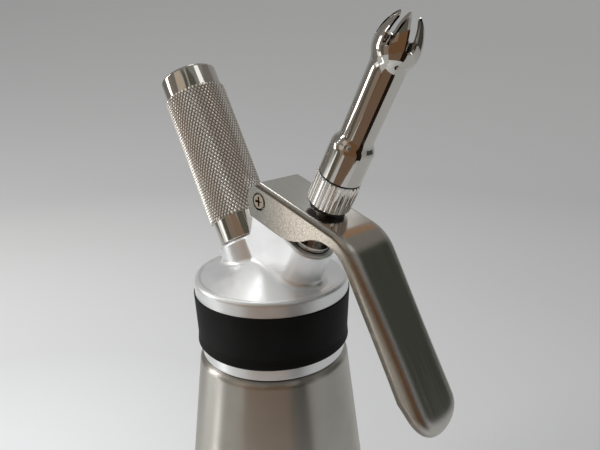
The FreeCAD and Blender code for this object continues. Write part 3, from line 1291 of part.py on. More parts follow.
# --------------------------------------------------------------------------------------------
# The whole dispenser
# --------------------------------------------------------------------------------------------
PIECES = [
    bottle(), head_gasket(), head_casting(), grip_band(),
    charger_holder(), gas_charger(), charger_cap(), charger_gasket(), pin_carrier(),
    piercing_pin(), inlet_check_valve(),
    valve_guide_bush(), stem_o_ring(), valve_stem(), valve_seal(), valve_collar(), return_spring(),
    lever(), pivot_screw(), pivot_nut(),
    adapter_washer(), tip_adapter(), adapter_seal(), nozzle_o_ring(), tulip_nozzle(),
]
doc.recompute()

failed = [item.Name for item in doc.Objects if {"Invalid", "Error"} & set(item.State)]
failed += [piece.Label for piece in PIECES if piece.Shape.isNull() or not piece.Shape.isValid()]
if failed:
    raise RuntimeError(f"failed: {failed}")

os.makedirs("parts", exist_ok=True)
for piece in PIECES:
    piece.Shape.exportStep(f"parts/{piece.Label}.step")
    print(f"{piece.Label}: {len(piece.Shape.Solids)} solid, {piece.Shape.Volume:.1f} mm3")
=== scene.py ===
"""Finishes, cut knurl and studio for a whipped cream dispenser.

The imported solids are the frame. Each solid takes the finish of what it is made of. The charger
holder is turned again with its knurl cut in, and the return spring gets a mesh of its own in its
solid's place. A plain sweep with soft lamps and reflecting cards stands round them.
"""

from __future__ import annotations

import json
import logging
import math
from collections.abc import Mapping, Sequence
from dataclasses import dataclass, field
from enum import Enum

import bpy
from bpy.types import ID, Material, Mesh, Node, NodeOutputs, NodeSocket, NodeTree, Object, World
from mathutils import Matrix, Vector

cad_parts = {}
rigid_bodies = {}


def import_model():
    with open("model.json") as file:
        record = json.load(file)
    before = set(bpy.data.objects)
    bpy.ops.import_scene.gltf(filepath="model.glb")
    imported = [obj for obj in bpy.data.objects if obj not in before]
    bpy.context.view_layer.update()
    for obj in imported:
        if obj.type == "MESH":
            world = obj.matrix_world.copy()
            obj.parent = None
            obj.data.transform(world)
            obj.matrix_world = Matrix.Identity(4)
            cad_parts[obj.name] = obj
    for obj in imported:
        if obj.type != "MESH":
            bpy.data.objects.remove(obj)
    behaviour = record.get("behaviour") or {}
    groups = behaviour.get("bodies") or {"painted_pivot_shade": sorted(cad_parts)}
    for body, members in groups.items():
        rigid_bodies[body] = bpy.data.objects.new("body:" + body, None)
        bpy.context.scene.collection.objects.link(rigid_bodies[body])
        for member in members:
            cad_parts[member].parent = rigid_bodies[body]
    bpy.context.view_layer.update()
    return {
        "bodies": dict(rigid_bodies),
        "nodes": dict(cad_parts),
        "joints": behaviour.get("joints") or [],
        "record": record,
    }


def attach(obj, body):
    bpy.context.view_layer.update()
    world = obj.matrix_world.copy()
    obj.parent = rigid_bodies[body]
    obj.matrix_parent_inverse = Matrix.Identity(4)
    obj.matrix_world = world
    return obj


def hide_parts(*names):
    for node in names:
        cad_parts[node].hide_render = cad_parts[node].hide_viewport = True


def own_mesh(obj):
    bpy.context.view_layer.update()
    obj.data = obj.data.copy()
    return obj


log = logging.getLogger("dispenser")

MM = 0.001

# Bounds that one noise, and the sum of two noises, seldom pass
NOISE_SPAN = (0.3, 0.7)
TWO_NOISES_SPAN = (0.7, 1.3)

Input = float | int | bool | str | Sequence[float] | Node | NodeSocket
Colour = tuple[float, float, float, float]


# ---------------------------------------------------------------------------------------------
# Small tools
# ---------------------------------------------------------------------------------------------
def linear(tone: str) -> Colour:
    """Turn an sRGB colour into the linear one that a shader takes.

    Args:
        tone: six hex digits, red first.

    Returns:
        Red, green, blue and an alpha of one.
    """
    shares = [int(tone[at:at + 2], 16) / 255 for at in (0, 2, 4)]
    bent = [s / 12.92 if s <= 0.04045 else ((s + 0.055) / 1.055) ** 2.4 for s in shares]
    return (*bent, 1.0)


def add_node(tree: NodeTree, kind: str, inputs: Mapping[str | int, Input] | None = None,
             **settings: object) -> Node:
    """Add a node to a tree, with its settings, values and links.

    Args:
        tree: the tree that the node joins.
        kind: the node's type.
        inputs: by name or number, a value for a socket, the output that feeds it, or a node whose
            first output does.
        settings: the node's own properties, such as its operation.

    Returns:
        The new node.
    """
    node = tree.nodes.new(kind)
    for name, setting in settings.items():
        setattr(node, name, setting)
    for name, given in (inputs or {}).items():
        if isinstance(given, Node):
            given = next(output for output in given.outputs if output.enabled)
        if isinstance(given, NodeSocket):
            tree.links.new(given, node.inputs[name])
        else:
            node.inputs[name].default_value = given
    return node


def limits(side: str, span: tuple[float, float], unit: float = 1.0) -> dict[str, float]:
    """The two inputs of a Map Range node's From or To side, with the span given in a unit."""
    return {f"{side} Min": span[0] * unit, f"{side} Max": span[1] * unit}


def drifting(tree: NodeTree, noises: tuple[Node, Node], span: tuple[float, float]) -> Node:
    """A value that drifts from place to place as two noises together do.

    Args:
        tree: the tree that the value's nodes join.
        noises: the two noises.
        span: the least and the greatest value.

    Returns:
        The node that gives the value.
    """
    both = add_node(tree, "ShaderNodeMath", dict(enumerate(noises)), operation="ADD")
    return add_node(tree, "ShaderNodeMapRange", {
        "Value": both, **limits("From", TWO_NOISES_SPAN), **limits("To", span)})


def bare_tree(owner: Material | World) -> NodeTree:
    """Clear the node tree of a new material or world.

    Args:
        owner: the material or the world.

    Returns:
        Its tree, with no node in it.
    """
    owner.use_nodes = True
    owner.node_tree.nodes.clear()
    return owner.node_tree


def new_object(name: str, data: ID) -> Object:
    """Put a new object in the scene, at its origin.

    Args:
        name: the object's name.
        data: its mesh, light or camera.

    Returns:
        The object.
    """
    made = bpy.data.objects.new(name, data)
    bpy.context.scene.collection.objects.link(made)
    return made


def revolved(name: str, outline: Sequence[tuple[float, float]], facets: int) -> Mesh:
    """Turn an outline about the vertical; an end on the axis closes to a point.

    Args:
        name: the mesh's name.
        outline: radius and height of each corner in metres, with the outside to its left.
        facets: facets round the axis.

    Returns:
        The mesh, smooth all over.
    """
    rings = [(radius, height) for radius, height in outline if radius > 0.0]
    corners = [(radius * math.cos(turn), radius * math.sin(turn), height)
               for radius, height in rings
               for turn in (math.tau * at / facets for at in range(facets))]
    sides = [(at, (at + 1) % facets) for at in range(facets)]
    last = (len(rings) - 1) * facets
    faces = [(row + here, row + facets + here, row + facets + there, row + there)
             for row in range(0, last, facets) for here, there in sides]
    if outline[0][0] == 0.0:
        faces += [(len(corners), here, there) for here, there in sides]
        corners.append((0.0, 0.0, outline[0][1]))
    if outline[-1][0] == 0.0:
        faces += [(len(corners), last + there, last + here) for here, there in sides]
        corners.append((0.0, 0.0, outline[-1][1]))
    mesh = bpy.data.meshes.new(name)
    mesh.from_pydata(corners, [], faces)
    mesh.shade_smooth()
    return mesh


def per_metre(size_mm: float) -> float:
    """A pattern's scale from the size in millimetres of one of its features."""
    return 1.0 / (size_mm * MM)


@dataclass(frozen=True)
class Axis:
    """A turned piece's axis, in the dispenser's plane of symmetry.

    Args:
        across: distance of its foot from the bottle's axis, in millimetres.
        height: height of that foot.
        lean: tilt towards the lever, in degrees.
        flat: whether the axis lies across the dispenser instead, as the pivot's does.
    """

    across: float = 0.0
    height: float = 0.0
    lean: float = 0.0
    flat: bool = False

    @property
    def turn(self) -> tuple[float, float, float]:
        """The turn that brings the vertical on to the axis, as XYZ angles."""
        return (math.radians(-90.0 if self.flat else 0.0), math.radians(self.lean), 0.0)

    @property
    def foot(self) -> Vector:
        """The axis's foot in metres."""
        return Vector((self.across, 0.0, self.height)) * MM

    @property
    def direction(self) -> Vector:
        """The unit vector along the axis."""
        return Vector((0.0, 1.0, 0.0)) if self.flat else Vector(
            (math.sin(math.radians(self.lean)), 0.0, math.cos(math.radians(self.lean))))

    def placement(self) -> Matrix:
        """The matrix that stands a piece, turned about the vertical, on the axis."""
        return Matrix.Translation(self.foot) @ Matrix.Rotation(
            math.radians(self.lean), 4, Vector((0.0, 1.0, 0.0)))

    def seen_from(self, tree: NodeTree, place: Node) -> Node:
        """Coordinates in which the axis stands upright, with its foot at their origin.

        Args:
            tree: the material's tree.
            place: the node that gives the piece's own coordinates.

        Returns:
            The node that gives them.
        """
        return add_node(tree, "ShaderNodeMapping", {
            "Vector": place.outputs["Object"], "Location": tuple(self.foot),
            "Rotation": self.turn}, vector_type="TEXTURE")


UPRIGHT = Axis()
VALVE = Axis(across=15.8, height=178.0, lean=27.8)
PORT = Axis(across=-9.9, height=178.0, lean=-29.4)
PIVOT = Axis(across=6.5, height=206.7, flat=True)


# ---------------------------------------------------------------------------------------------
# Finishes
# ---------------------------------------------------------------------------------------------
@dataclass(frozen=True)
class Finish:
    """A surface: what it is made of and how it was made."""

    name: str

    def sockets(self, tree: NodeTree) -> dict[str, Input]:
        """Values and outputs for the surface's shader; each finish gives its own."""
        raise NotImplementedError

    def material(self) -> Material:
        """The finish's material, made the first time that it is asked for.

        Returns:
            The material, the same one each time.
        """
        made = bpy.data.materials.get(self.name)
        if made is None:
            made = bpy.data.materials.new(self.name)
            tree = bare_tree(made)
            surface = add_node(tree, "ShaderNodeBsdfPrincipled", self.sockets(tree))
            add_node(tree, "ShaderNodeOutputMaterial", {"Surface": surface})
        return made


@dataclass(frozen=True)
class TurnedMetal(Finish):
    """Metal turned or brushed round an axis: fine rings that draw its lights out along the axis.

    Args:
        axis: the axis that it was turned on.
        bright: its colour where it is cleanest.
        dull: its colour where it is handled.
        smooth: its least roughness.
        rough: its greatest roughness.
        ring_mm: spacing of the rings; the real ones, near 0.05 mm, are too fine to show.
        ring_depth_mm: their depth.
        cloud_mm: size of the dull patches.
        stretch: how strongly the rings draw out the lights.
        metal: share of the light that it sends back as bare metal.
    """

    axis: Axis = UPRIGHT
    bright: str = "D6D4D0"
    dull: str = "C4C1BC"
    smooth: float = 0.14
    rough: float = 0.24
    ring_mm: float = 0.5
    ring_depth_mm: float = 0.0015
    cloud_mm: float = 14.0
    stretch: float = 0.5
    metal: float = 1.0

    # How many times longer than high the marks are that make up the rings
    MARK_LENGTH = 40.0

    def sockets(self, tree: NodeTree) -> dict[str, Input]:
        """Ringed roughness and bump, cloudy colour, and lights drawn out along the axis.

        Args:
            tree: the material's tree.

        Returns:
            The shader's inputs by name.
        """
        place = add_node(tree, "ShaderNodeTexCoord")
        fine, wide = per_metre(self.ring_mm), per_metre(self.ring_mm * self.MARK_LENGTH)
        drawn = add_node(tree, "ShaderNodeVectorMath", {
            0: self.axis.seen_from(tree, place), 1: (wide, wide, fine)}, operation="MULTIPLY")
        rings = add_node(tree, "ShaderNodeTexNoise", {"Vector": drawn, "Scale": 1.0, "Detail": 2.0})
        clouds = add_node(tree, "ShaderNodeTexNoise", {
            "Vector": place.outputs["Object"], "Scale": per_metre(self.cloud_mm), "Detail": 4.0})
        colour = add_node(tree, "ShaderNodeMix", {
            "Factor": clouds, "A": linear(self.bright), "B": linear(self.dull)}, data_type="RGBA")
        bump = add_node(tree, "ShaderNodeBump", {
            "Height": rings, "Distance": self.ring_depth_mm * MM, "Strength": 1.0})
        along = add_node(tree, "ShaderNodeVectorTransform", {
            "Vector": tuple(self.axis.direction)}, vector_type="VECTOR", convert_from="OBJECT",
            convert_to="WORLD")
        return {"Base Color": colour, "Metallic": self.metal,
                "Roughness": drifting(tree, (rings, clouds), (self.smooth, self.rough)),
                "Normal": bump, "Anisotropic": self.stretch, "Tangent": along}


@dataclass(frozen=True)
class BlastedMetal(Finish):
    """Metal blasted with glass beads: an even satin, broken up by shallow dents that glitter.

    Args:
        bright: its colour on the peaks.
        dull: its colour in the dents.
        smooth: its least roughness.
        rough: its greatest roughness.
        dent_mm: width of a dent; beads leave 0.1 to 0.3 mm.
        dent_depth_mm: depth of a dent.
        cloud_mm: size of the patches in which the blasting is lighter.
        metal: share of the light that it sends back as bare metal, not as white oxide.
    """

    bright: str = "FCFDFD"
    dull: str = "F3F5F6"
    smooth: float = 0.28
    rough: float = 0.44
    dent_mm: float = 0.3
    dent_depth_mm: float = 0.012
    cloud_mm: float = 9.0
    metal: float = 1.0

    def sockets(self, tree: NodeTree) -> dict[str, Input]:
        """Dented bump, and roughness and colour that drift from patch to patch.

        Args:
            tree: the material's tree.

        Returns:
            The shader's inputs by name.
        """
        place = add_node(tree, "ShaderNodeTexCoord")
        dents = add_node(tree, "ShaderNodeTexNoise", {
            "Vector": place.outputs["Object"], "Scale": per_metre(self.dent_mm), "Detail": 1.5})
        clouds = add_node(tree, "ShaderNodeTexNoise", {
            "Vector": place.outputs["Object"], "Scale": per_metre(self.cloud_mm), "Detail": 3.0})
        colour = add_node(tree, "ShaderNodeMix", {
            "Factor": dents, "A": linear(self.dull), "B": linear(self.bright)}, data_type="RGBA")
        bump = add_node(tree, "ShaderNodeBump", {
            "Height": dents, "Distance": self.dent_depth_mm * MM, "Strength": 1.0})
        return {"Base Color": colour, "Metallic": self.metal, "Normal": bump,
                "Roughness": drifting(tree, (dents, clouds), (self.smooth, self.rough))}


@dataclass(frozen=True)
class RolledKnurl(BlastedMetal):
    """Bar that a knurling wheel has rolled: bright on the points, with painted shade down in the
    grooves.

    The wheel leaves a fine satin, so the rest of the surface is that of blasted metal.

    Args:
        axis: the axis of the bar.
        painted_groove_shade: painted shade, its colour down in the grooves.
        groove_mm: radius at the grooves' floor.
        point_mm: radius at which it is bright, past the painted shade.
    """

    axis: Axis = UPRIGHT
    painted_groove_shade: str = "857B6F"
    groove_mm: float = 12.66
    point_mm: float = 12.9

    def sockets(self, tree: NodeTree) -> dict[str, Input]:
        """The rolled surface's own values, with painted shade that darkens the colour towards the
        axis.

        Args:
            tree: the material's tree.

        Returns:
            The shader's inputs by name.
        """
        given = super().sockets(tree)
        place = add_node(tree, "ShaderNodeTexCoord")
        across = add_node(tree, "ShaderNodeVectorMath", {
            0: self.axis.seen_from(tree, place), 1: (1.0, 1.0, 0.0)}, operation="MULTIPLY")
        radius = add_node(tree, "ShaderNodeVectorMath", {0: across}, operation="LENGTH")
        # Painted shade: the colour darkens from the points down into the grooves
        share = add_node(tree, "ShaderNodeMapRange", {
            "Value": radius, **limits("From", (self.groove_mm, self.point_mm), MM)})
        colour = add_node(tree, "ShaderNodeMix", {
            "Factor": share, "A": linear(self.painted_groove_shade), "B": given["Base Color"]},
            data_type="RGBA")
        return {**given, "Base Color": colour}


@dataclass(frozen=True)
class PressedSheet(Finish):
    """Stainless sheet, pressed and polished, with cheeks left as they were blasted.

    The blasting ends where the handle bends away, and its glitter on the cheeks of the plate is
    painted glints; beside the pivot the cheeks are darkened by painted shade, standing in for a
    darker room that they reflect. The rounding of the edges is shading alone: the outline stays the
    solid's. The painted shade's, the painted glints' and the bend's spans are distances from the
    bottle's axis, in millimetres.

    Args:
        bright: colour of the polished face.
        dull: colour of the blasted cheeks.
        painted_pivot_shade: painted shade on the cheeks beside the pivot, where they reflect a
            darker room.
        face_rough: roughness of the polished face.
        face_spread: least and greatest share of that roughness in the streaks.
        cheek_rough: roughness of the cheeks.
        cheek_span: how far sideways the surface faces where a cheek starts and where it is full.
        dent_mm: width of a dent; real ones, of 0.1 to 0.3 mm, are too fine to show.
        dent_depth_mm: depth of a dent.
        painted_glint: painted glints, as the brightness of the darkest and of the lightest dents.
        streak_mm: width of the polishing streaks along the handle.
        streak_length: how many times longer than wide a streak is.
        painted_pivot_shade_span: where the painted shade beside the pivot gives way to the cheeks'
            colour.
        painted_glitter_span: where the painted glints die away.
        bend_span: where the plate's rounding gives way to the handle's.
        plate_rounding: radius of the rounding along the plate's edges, in millimetres.
        handle_rounding: radius of the rounding along the handle's.
    """

    bright: str = "CFCCC6"
    dull: str = "A79F94"
    # Painted shade beside the pivot, where the cheeks reflect a darker room
    painted_pivot_shade: str = "807E78"
    face_rough: float = 0.17
    face_spread: tuple[float, float] = (0.8, 1.25)
    cheek_rough: float = 0.14
    cheek_span: tuple[float, float] = (0.55, 0.95)
    dent_mm: float = 0.42
    dent_depth_mm: float = 0.008
    # Painted glints: the dents scale the cheeks' colour between these
    painted_glint: tuple[float, float] = (0.62, 1.4)
    streak_mm: float = 0.7
    streak_length: float = 30.0
    painted_pivot_shade_span: tuple[float, float] = (6.0, 22.0)
    painted_glitter_span: tuple[float, float] = (36.0, 52.0)
    bend_span: tuple[float, float] = (42.0, 52.0)
    plate_rounding: float = 0.3
    handle_rounding: float = 4.0

    # Bounds of the streaks' noise between which the roughness follows it
    STREAK_SPAN = (0.35, 0.65)
    ROUNDING_SAMPLES = 6

    def face_roughness(self, tree: NodeTree, place: Node) -> Node:
        """The polished face's roughness, in streaks along the handle.

        Args:
            tree: the material's tree.
            place: the node that gives the sheet's own coordinates.

        Returns:
            The node that gives the roughness.
        """
        fine, long = per_metre(self.streak_mm), per_metre(self.streak_mm * self.streak_length)
        drawn = add_node(tree, "ShaderNodeVectorMath", {
            0: place.outputs["Object"], 1: (long, fine, long)}, operation="MULTIPLY")
        streaks = add_node(tree, "ShaderNodeTexNoise", {
            "Vector": drawn, "Scale": 1.0, "Detail": 3.0})
        return add_node(tree, "ShaderNodeMapRange", {
            "Value": streaks, **limits("From", self.STREAK_SPAN),
            **limits("To", self.face_spread, self.face_rough)})

    def cheek_colour(self, tree: NodeTree, along: NodeSocket, dents: Node) -> Node:
        """The blasted cheeks' colour: grey with painted shade beside the pivot, and with painted
        glints as far as the bend.

        Args:
            tree: the material's tree.
            along: the distance from the bottle's axis.
            dents: the noise of the blasting.

        Returns:
            The node that gives the colour.
        """
        # Painted shade beside the pivot, and painted glints that die away towards the bend
        past_painted_pivot_shade, past_painted_glitter = (
            add_node(tree, "ShaderNodeMapRange", {"Value": along, **limits("From", span, MM)})
            for span in (self.painted_pivot_shade_span, self.painted_glitter_span))
        plain = add_node(tree, "ShaderNodeMix", {
            "Factor": past_painted_pivot_shade, "A": linear(self.painted_pivot_shade), "B": linear(self.dull)}, data_type="RGBA")
        # Painted glints: the dents scale the cheeks' colour up and down
        painted_glint = add_node(tree, "ShaderNodeMapRange", {
            "Value": dents, **limits("From", NOISE_SPAN), **limits("To", self.painted_glint)})
        painted_glitter = add_node(tree, "ShaderNodeVectorMath", {0: plain, "Scale": painted_glint},
                           operation="SCALE")
        return add_node(tree, "ShaderNodeMix", {
            "Factor": past_painted_glitter, "A": painted_glitter, "B": plain}, data_type="RGBA")

    def rounded_normal(self, tree: NodeTree, along: NodeSocket, height: Node) -> Node:
        """The dented surface's normal, turned over the edges as a rounding's is.

        Args:
            tree: the material's tree.
            along: the distance from the bottle's axis.
            height: the height of the dents.

        Returns:
            The node that gives the normal.
        """
        bump = add_node(tree, "ShaderNodeBump", {
            "Height": height, "Distance": self.dent_depth_mm * MM, "Strength": 1.0})
        reach = add_node(tree, "ShaderNodeMapRange", {
            "Value": along, **limits("From", self.bend_span, MM),
            **limits("To", (self.plate_rounding, self.handle_rounding), MM)})
        return add_node(tree, "ShaderNodeBevel", {"Radius": reach, "Normal": bump},
                        samples=self.ROUNDING_SAMPLES)

    def sockets(self, tree: NodeTree) -> dict[str, Input]:
        """The cheeks are told from the face by how far the surface turns sideways.

        Args:
            tree: the material's tree.

        Returns:
            The shader's inputs by name.
        """
        place = add_node(tree, "ShaderNodeTexCoord")
        facing = add_node(tree, "ShaderNodeSeparateXYZ", {"Vector": place.outputs["Normal"]})
        sideways = add_node(tree, "ShaderNodeMath", {0: facing.outputs["Y"]}, operation="ABSOLUTE")
        cheek = add_node(tree, "ShaderNodeMapRange", {
            "Value": sideways, **limits("From", self.cheek_span)})
        dents = add_node(tree, "ShaderNodeTexNoise", {
            "Vector": place.outputs["Object"], "Scale": per_metre(self.dent_mm), "Detail": 1.5})
        spot = add_node(tree, "ShaderNodeSeparateXYZ", {"Vector": place.outputs["Object"]})
        along = spot.outputs["X"]
        colour = add_node(tree, "ShaderNodeMix", {
            "Factor": cheek, "A": linear(self.bright),
            "B": self.cheek_colour(tree, along, dents)}, data_type="RGBA")
        rough = add_node(tree, "ShaderNodeMix", {
            "Factor": cheek, "A": self.face_roughness(tree, place), "B": self.cheek_rough},
            data_type="FLOAT")
        height = add_node(tree, "ShaderNodeMath", {0: dents, 1: cheek}, operation="MULTIPLY")
        return {"Base Color": colour, "Metallic": 1.0, "Roughness": rough,
                "Normal": self.rounded_normal(tree, along, height)}


@dataclass(frozen=True)
class Moulded(Finish):
    """Rubber, silicone or plastic from a mould: a fine even texture, a little dust on it.

    Args:
        tone: its colour.
        dust: the colour that handling and dust leave on it.
        dust_share: how much of that shows in the dustiest places.
        patch_mm: size of the dusty patches.
        rough: its middle roughness.
        rough_drift: how far its roughness strays from that.
        grain_mm: size of the mould's texture.
        grain_depth_mm: depth of that texture.
        ior: its refractive index, near 1.41 for silicone and 1.52 for rubber and plastic.
        gloss: how much of the gloss of that index its texture leaves, 0.5 for all of it.
    """

    tone: str = "060707"
    dust: str = "1A1B1C"
    dust_share: float = 0.35
    patch_mm: float = 16.0
    rough: float = 0.62
    rough_drift: float = 0.06
    grain_mm: float = 0.4
    grain_depth_mm: float = 0.006
    ior: float = 1.41
    gloss: float = 0.5

    # Bounds of the patches' noise between which the dust grows
    DUSTY_SPAN = (0.4, 0.75)

    def sockets(self, tree: NodeTree) -> dict[str, Input]:
        """Grain in bump and roughness, and soft dust in patches.

        Args:
            tree: the material's tree.

        Returns:
            The shader's inputs by name.
        """
        place = add_node(tree, "ShaderNodeTexCoord")
        grain = add_node(tree, "ShaderNodeTexNoise", {
            "Vector": place.outputs["Object"], "Scale": per_metre(self.grain_mm), "Detail": 2.0})
        patches = add_node(tree, "ShaderNodeTexNoise", {
            "Vector": place.outputs["Object"], "Scale": per_metre(self.patch_mm), "Detail": 5.0})
        share = add_node(tree, "ShaderNodeMapRange", {
            "Value": patches, **limits("From", self.DUSTY_SPAN), "To Max": self.dust_share})
        colour = add_node(tree, "ShaderNodeMix", {
            "Factor": share, "A": linear(self.tone), "B": linear(self.dust)}, data_type="RGBA")
        rough = add_node(tree, "ShaderNodeMapRange", {
            "Value": grain, **limits("From", NOISE_SPAN),
            **limits("To", (self.rough - self.rough_drift, self.rough + self.rough_drift))})
        bump = add_node(tree, "ShaderNodeBump", {
            "Height": grain, "Distance": self.grain_depth_mm * MM, "Strength": 1.0})
        return {"Base Color": colour, "Metallic": 0.0, "IOR": self.ior,
                "Specular IOR Level": self.gloss, "Roughness": rough, "Normal": bump}


# Deep-drawn stainless steel, brushed round the bottle: soft upright streaks of light
BOTTLE_STEEL = TurnedMetal("brushed_bottle_steel", UPRIGHT, bright="CECBC4", dull="BDB9B1",
                           smooth=0.3, rough=0.4, ring_mm=0.35, ring_depth_mm=0.0012,
                           cloud_mm=22.0, stretch=0.85)
# Die-cast aluminium, blasted and clear anodised: cool, bright and softly glittering
CAST_ALUMINIUM = BlastedMetal("blasted_cast_aluminium", metal=0.86)
# Silicone, moulded in a lightly textured tool: deep black with almost no gloss
BAND_SILICONE = Moulded("moulded_silicone", gloss=0.27)
# Nitrile rubber rings: black, a little glossier than the band
RING_RUBBER = Moulded("moulded_rubber", tone="0A0A0B", dust="1C1C1D", rough=0.42, grain_mm=0.3,
                      grain_depth_mm=0.002, ior=1.52)
# Stainless sheet, pressed, its top polished: clear lights along it, and sides with painted glints,
# darkened by painted shade beside the pivot
LEVER_SHEET = PressedSheet("pressed_lever_sheet")
# Stainless bar, turned bright: clear reflections, drawn out a little along the bar
HOLDER_STEEL = TurnedMetal("turned_holder_steel", PORT, bright="D8D5CF", dull="C6C2BB",
                           smooth=0.06, rough=0.11, ring_mm=0.3, ring_depth_mm=0.0005, stretch=0.4)
# The same bar where the knurling wheel has rolled it: satin points that sparkle over grooves
# darkened by painted shade, with the satin's grain drawn as coarse as it needs to show
KNURL_STEEL = RolledKnurl("rolled_knurl_steel", axis=PORT, bright="FFFAF2", dull="F2ECE2",
                          smooth=0.2, rough=0.28, dent_mm=0.5, dent_depth_mm=0.001, metal=0.7)
# Stainless tube, drawn, turned and polished: a mirror, with the room in it almost sharp
NOZZLE_STEEL = TurnedMetal("polished_nozzle_steel", VALVE, bright="DAD7D2", dull="CECAC4",
                           smooth=0.04, rough=0.08, ring_mm=0.4, ring_depth_mm=0.0003, stretch=0.2)
# Stainless bar, turned and straight-knurled: ridges that catch the light one by one
ADAPTER_STEEL = TurnedMetal("turned_adapter_steel", VALVE, bright="FFFDF8", dull="F0EDE8",
                            smooth=0.09, rough=0.14, ring_mm=0.3, ring_depth_mm=0.0002,
                            stretch=0.4, metal=0.96)
# Stainless bar, turned, with the tool's marks left on it: a soft grey sheen
VALVE_STEEL = TurnedMetal("turned_valve_steel", VALVE, smooth=0.18, rough=0.3)
CARRIER_STEEL = TurnedMetal("turned_carrier_steel", PORT, smooth=0.18, rough=0.3)
# The same for screw and nut: darker and warmer than what they hold
SCREW_STEEL = TurnedMetal("turned_screw_steel", PIVOT, bright="9C9082", dull="857A6D", smooth=0.12,
                          rough=0.22, ring_mm=0.25)
# Spring wire, left as drawn: dull grey along each coil
SPRING_STEEL = TurnedMetal("drawn_spring_wire", VALVE, bright="B4B3B0", dull="9C9B98", smooth=0.2,
                           rough=0.32, stretch=0.2)
# Steel charger, drawn and zinc plated: pale, cool and even
CHARGER_STEEL = TurnedMetal("plated_charger_steel", PORT, bright="C4C7CA", dull="AEB1B4",
                            smooth=0.24, rough=0.34, ring_mm=0.6)
# Acetal, moulded: off-white and waxy
BUSH_PLASTIC = Moulded("moulded_acetal", tone="DAD8CE", dust="CFCCC0", rough=0.4,
                       grain_depth_mm=0.002, ior=1.48)


# ---------------------------------------------------------------------------------------------
# Sub-assemblies
# ---------------------------------------------------------------------------------------------
@dataclass
class SubAssembly:
    """Solids of the frame that belong together, each with its finish.

    Args:
        finishes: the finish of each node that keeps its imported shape.
    """

    frame: dict
    finishes: dict[str, Finish] = field(default_factory=dict)

    def dress(self) -> None:
        """Give each of the nodes its finish."""
        for node, finish in self.finishes.items():
            for slot in self.frame["nodes"][node].material_slots:
                slot.material = finish.material()
            log.info("%s: %s", node, finish.name)


@dataclass
class Bottle(SubAssembly):
    """The deep-drawn bottle and the gasket on its rim."""

    finishes: dict[str, Finish] = field(default_factory=lambda: {
        "bottle": BOTTLE_STEEL, "head_gasket": BAND_SILICONE})


@dataclass
class Head(SubAssembly):
    """The cast head with its band, the piercing seat and the lever's pivot."""

    finishes: dict[str, Finish] = field(default_factory=lambda: {
        "head_casting": CAST_ALUMINIUM, "grip_band": BAND_SILICONE, "pin_carrier": CARRIER_STEEL,
        "piercing_pin": CARRIER_STEEL, "charger_gasket": RING_RUBBER,
        "inlet_check_valve": RING_RUBBER, "pivot_screw": SCREW_STEEL, "pivot_nut": SCREW_STEEL})


@dataclass
class Valve(SubAssembly):
    """The spring valve that the lever presses. Sizes in millimetres along the valve's axis.

    Args:
        spring_foot: height of the return spring's lower end; not used.
        spring_length: its length at rest; not used.
        travel: how far the collar presses it together; not used.
    """

    finishes: dict[str, Finish] = field(default_factory=lambda: {
        "valve_stem": VALVE_STEEL, "valve_seal": RING_RUBBER, "valve_collar": VALVE_STEEL,
        "valve_guide_bush": BUSH_PLASTIC, "stem_o_ring": RING_RUBBER,
        "return_spring": SPRING_STEEL})
    spring_foot: float = 4.03
    spring_length: float = 12.54
    travel: float = 2.8

    def dress(self) -> None:
        """Dress the valve and put a copy of the spring's mesh in its solid's place."""
        super().dress()
        solid = self.frame["nodes"]["return_spring"]
        mesh = solid.data.copy()
        mesh.transform(solid.matrix_world)
        coil = new_object("coiled_return_spring", mesh)
        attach(coil, "head")
        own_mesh(coil)
        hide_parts("return_spring")
        log.info("%s: %d faces", coil.name, len(mesh.polygons))


@dataclass
class Lever(SubAssembly):
    """The pressed lever."""

    finishes: dict[str, Finish] = field(default_factory=lambda: {"lever": LEVER_SHEET})


@dataclass
class Nozzle(SubAssembly):
    """The knurled adapter, its rings and the tulip nozzle."""

    finishes: dict[str, Finish] = field(default_factory=lambda: {
        "adapter_washer": RING_RUBBER, "tip_adapter": ADAPTER_STEEL, "adapter_seal": RING_RUBBER,
        "nozzle_o_ring": RING_RUBBER, "tulip_nozzle": NOZZLE_STEEL})


